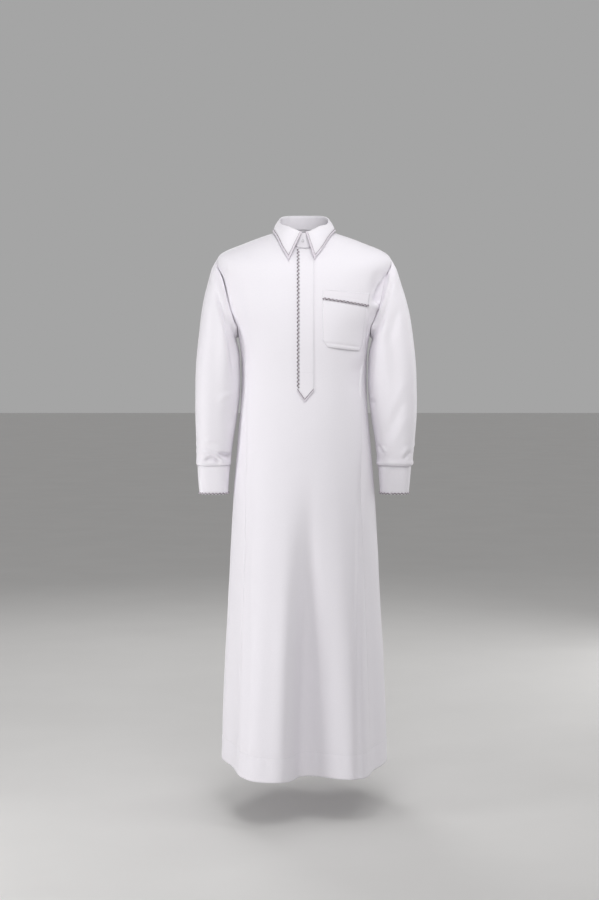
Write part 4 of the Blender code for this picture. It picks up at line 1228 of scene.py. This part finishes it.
# The braid down its open edge.
heights = np.linspace(PLACKET_CORNER + POINT_TAPE + SEAM, PLACKET_TOP - 0.0005, 120)
route = above_front(PLACKET_LEFT + BRAID_WIDTH / 2, heights, PLACKET_LIFT)
open_braid = make_braid(
    "placket_braid_yarns", route, front_ways(route), BRAID_WIDTH, BRAID_THICK, BRAID_PITCH
)
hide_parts("placket_braid")

# Topstitching along the closed edge, and the bar across the foot of the slit.
closed_edge = across_grid(placket_points, placket_points.shape[1] - CLOSED_EDGE, 1)
bar = [grid[3:] for grid in level_line(placket_points, BAR)]
sew_stitches("placket_stitches", [closed_edge, bar])

# ---------------------------------------------------------------- chest pocket
# A patch of shirting with cut-off lower corners, stitched to the wearer's left chest under a band
# of the same cloth. A dark and white braid covers the seam between them.

# Lines from the pocket's foot up: left and right end of each, and its puff.
POCKET_LINES = np.array((
    (0.0590, -0.2985, 0.1405, -0.3080, 0.0022),
    (0.0465, -0.2820, 0.1480, -0.2930, 0.0034),
    (0.0460, -0.2470, 0.1515, -0.2600, 0.0030),
    (0.0457, -0.2120, 0.1550, -0.2275, 0.0024),
    (0.0455, -0.1762, 0.1585, -0.1932, 0.0014),
))
BAND_LINES = np.array((
    (0.0455, -0.1755, 0.1640, -0.1921, 0.0014),
    (0.0463, -0.1645, 0.1655, -0.1765, 0.0010),
    (0.0470, -0.1535, 0.1670, -0.1614, 0.0006),
))
SEAM_LINE = (0.0460, -0.1759, 0.1635, -0.1926, 0.0014)    # the line that the braid covers
PATCH_LIFT, PATCH = 0.0009, 0.0006    # the patch's edge over the front, and its thin pressed wall
PUFF_SHAPE, ROLL_SHAPE = 0.7, 0.3    # how flat their tops are across, lower being flatter
# The roll over the pocket's foot and the dent above it: part of the puff, place and spread.
ROLLS = ((0.4, 0.30, 0.12), (-0.3, 0.70, 0.11))
POCKET_BRAID, POCKET_PITCH, POCKET_HIGH = 0.0052, 0.0100, 0.7


def seen_line(ends, part):
    """A place between a line's left and right ends."""
    left_x, left_z, right_x, right_z = ends
    return left_x + (right_x - left_x) * part, left_z + (right_z - left_z) * part


def pocket_sheet(lines, rows, parts):
    """A patch laid on the front between the lines, puffed off it and rolled at its foot."""
    rolled = lines[0, 4] * sum(rise * bell(rows - place, spread) for rise, place, spread in ROLLS)
    *ends, puff = [np.interp(rows, np.arange(len(lines)), line)[:, None] for line in lines.T]
    arch = np.sin(math.pi * parts)
    lift = PATCH_LIFT + puff * arch ** PUFF_SHAPE + rolled[:, None] * arch ** ROLL_SHAPE
    return above_front(*seen_line(ends, parts), lift)


parts = np.linspace(0, 1, 41)
pocket_points = pocket_sheet(POCKET_LINES, np.linspace(0, 4, 45), parts)
pocket = make_sheet("pocket_cloth", pocket_points, wall=PATCH)
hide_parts("pocket")
band_points = pocket_sheet(BAND_LINES, np.linspace(0, 2, 11), parts)
band = make_sheet("pocket_band_cloth", band_points, wall=PATCH)
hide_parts("pocket_band")

parts = np.linspace(0, 1, 60)
lift = PATCH_LIFT + SEAM_LINE[4] * np.sin(math.pi * parts) ** PUFF_SHAPE
route = above_front(*seen_line(SEAM_LINE[:4], parts), lift)
high = POCKET_BRAID * POCKET_HIGH
pocket_braid = make_braid(
    "pocket_braid", route, front_ways(route), POCKET_BRAID, high, POCKET_PITCH
)
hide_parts("pocket_cord")

# Topstitching just inside the sides of both, the pocket's foot and the band's upper edge.
pocket_seams = (
    (pocket_points, 0.6, 1), (pocket_points, 39.4, 1), (pocket_points, 0.5, 0),
    (band_points, 0.6, 1), (band_points, 39.4, 1), (band_points, 9.3, 0),
)
sew_stitches("pocket_stitches", [across_grid(*seam) for seam in pocket_seams])

# ---------------------------------------------------------------- studio
# A wide pale floor under an even grey room. Four large soft lamps light the front from above, from
# both sides and from the camera's side, and two weaker ones light the back.

FLOOR = -1.492
floor_tone, *_ = toned_material(
    "pale_floor", (0.700, 0.690, 0.680), (0.760, 0.750, 0.740), "Object",
    ("ShaderNodeTexNoise", {"Scale": 3.0, "Detail": 6.0}, {}), {"Roughness": 0.85},
)
bm = bmesh.new()
bmesh.ops.create_grid(bm, x_segments=1, y_segments=1, size=40.0)
bmesh.ops.translate(bm, verts=bm.verts, vec=(0, 0, FLOOR))
mesh = bpy.data.meshes.new("floor")
bm.to_mesh(mesh)
bm.free()
mesh.materials.append(floor_tone)
floor = bpy.data.objects.new("floor", mesh)
bpy.context.scene.collection.objects.link(floor)

world = bpy.data.worlds.new("studio")
bpy.context.scene.world = world
world.use_nodes = True
world.node_tree.nodes["Background"].inputs["Color"].default_value = (0.376, 0.376, 0.376, 1)
world.node_tree.nodes["Background"].inputs["Strength"].default_value = 1.0

# Each lamp's place, what it is aimed at, its width and height, and its watts.
LAMPS = {
    "top_front": ((0.05, -0.90, 0.55), (0.0, -0.1, -0.35), (0.7, 0.7), 5.9),
    "left_low": ((-1.75, -0.85, -0.80), (0.0, 0.0, -0.60), (0.5, 1.3), 14.8),
    "right_top": ((1.00, -0.35, 0.30), (0.15, 0.0, -0.35), (0.5, 0.5), 2.7),
    "front": ((0.0, -3.60, -0.20), (0.0, 0.0, -0.50), (1.5, 1.5), 14.8),
    "back_top": ((-0.90, 2.60, 1.20), (0.0, 0.1, -0.40), (1.2, 1.2), 24.0),
    "back_low": ((2.30, 1.90, -0.50), (0.0, 0.1, -0.70), (0.8, 1.4), 20.0),
}
for name, (place, aim, size, power) in LAMPS.items():
    lamp = bpy.data.lights.new(name, "AREA")
    lamp.shape = "RECTANGLE"
    lamp.size, lamp.size_y = size
    lamp.energy = power
    made = bpy.data.objects.new(name, lamp)
    made.location = place
    made.rotation_euler = (Vector(aim) - Vector(place)).to_track_quat("-Z", "Y").to_euler()
    made.visible_camera = False
    bpy.context.scene.collection.objects.link(made)

# The camera stands 3.87 m in front, a little above the robe's middle, and looks slightly down.
FILM, IMAGE_HEIGHT, FOCAL_LENGTH = 24.0, 900.0, 1480.0    # mm, and the last two in pixels
lens = bpy.data.cameras.new("camera")
lens.sensor_fit = "VERTICAL"
lens.sensor_height = FILM
lens.lens = FILM * FOCAL_LENGTH / IMAGE_HEIGHT
camera = bpy.data.objects.new("camera", lens)
camera.location = (-0.012, -3.87, -0.369)
camera.rotation_euler = (math.radians(90 - 2.9), 0, 0)
bpy.context.scene.collection.objects.link(camera)
bpy.context.scene.camera = camera
bpy.context.scene.view_settings.view_transform = "Standard"
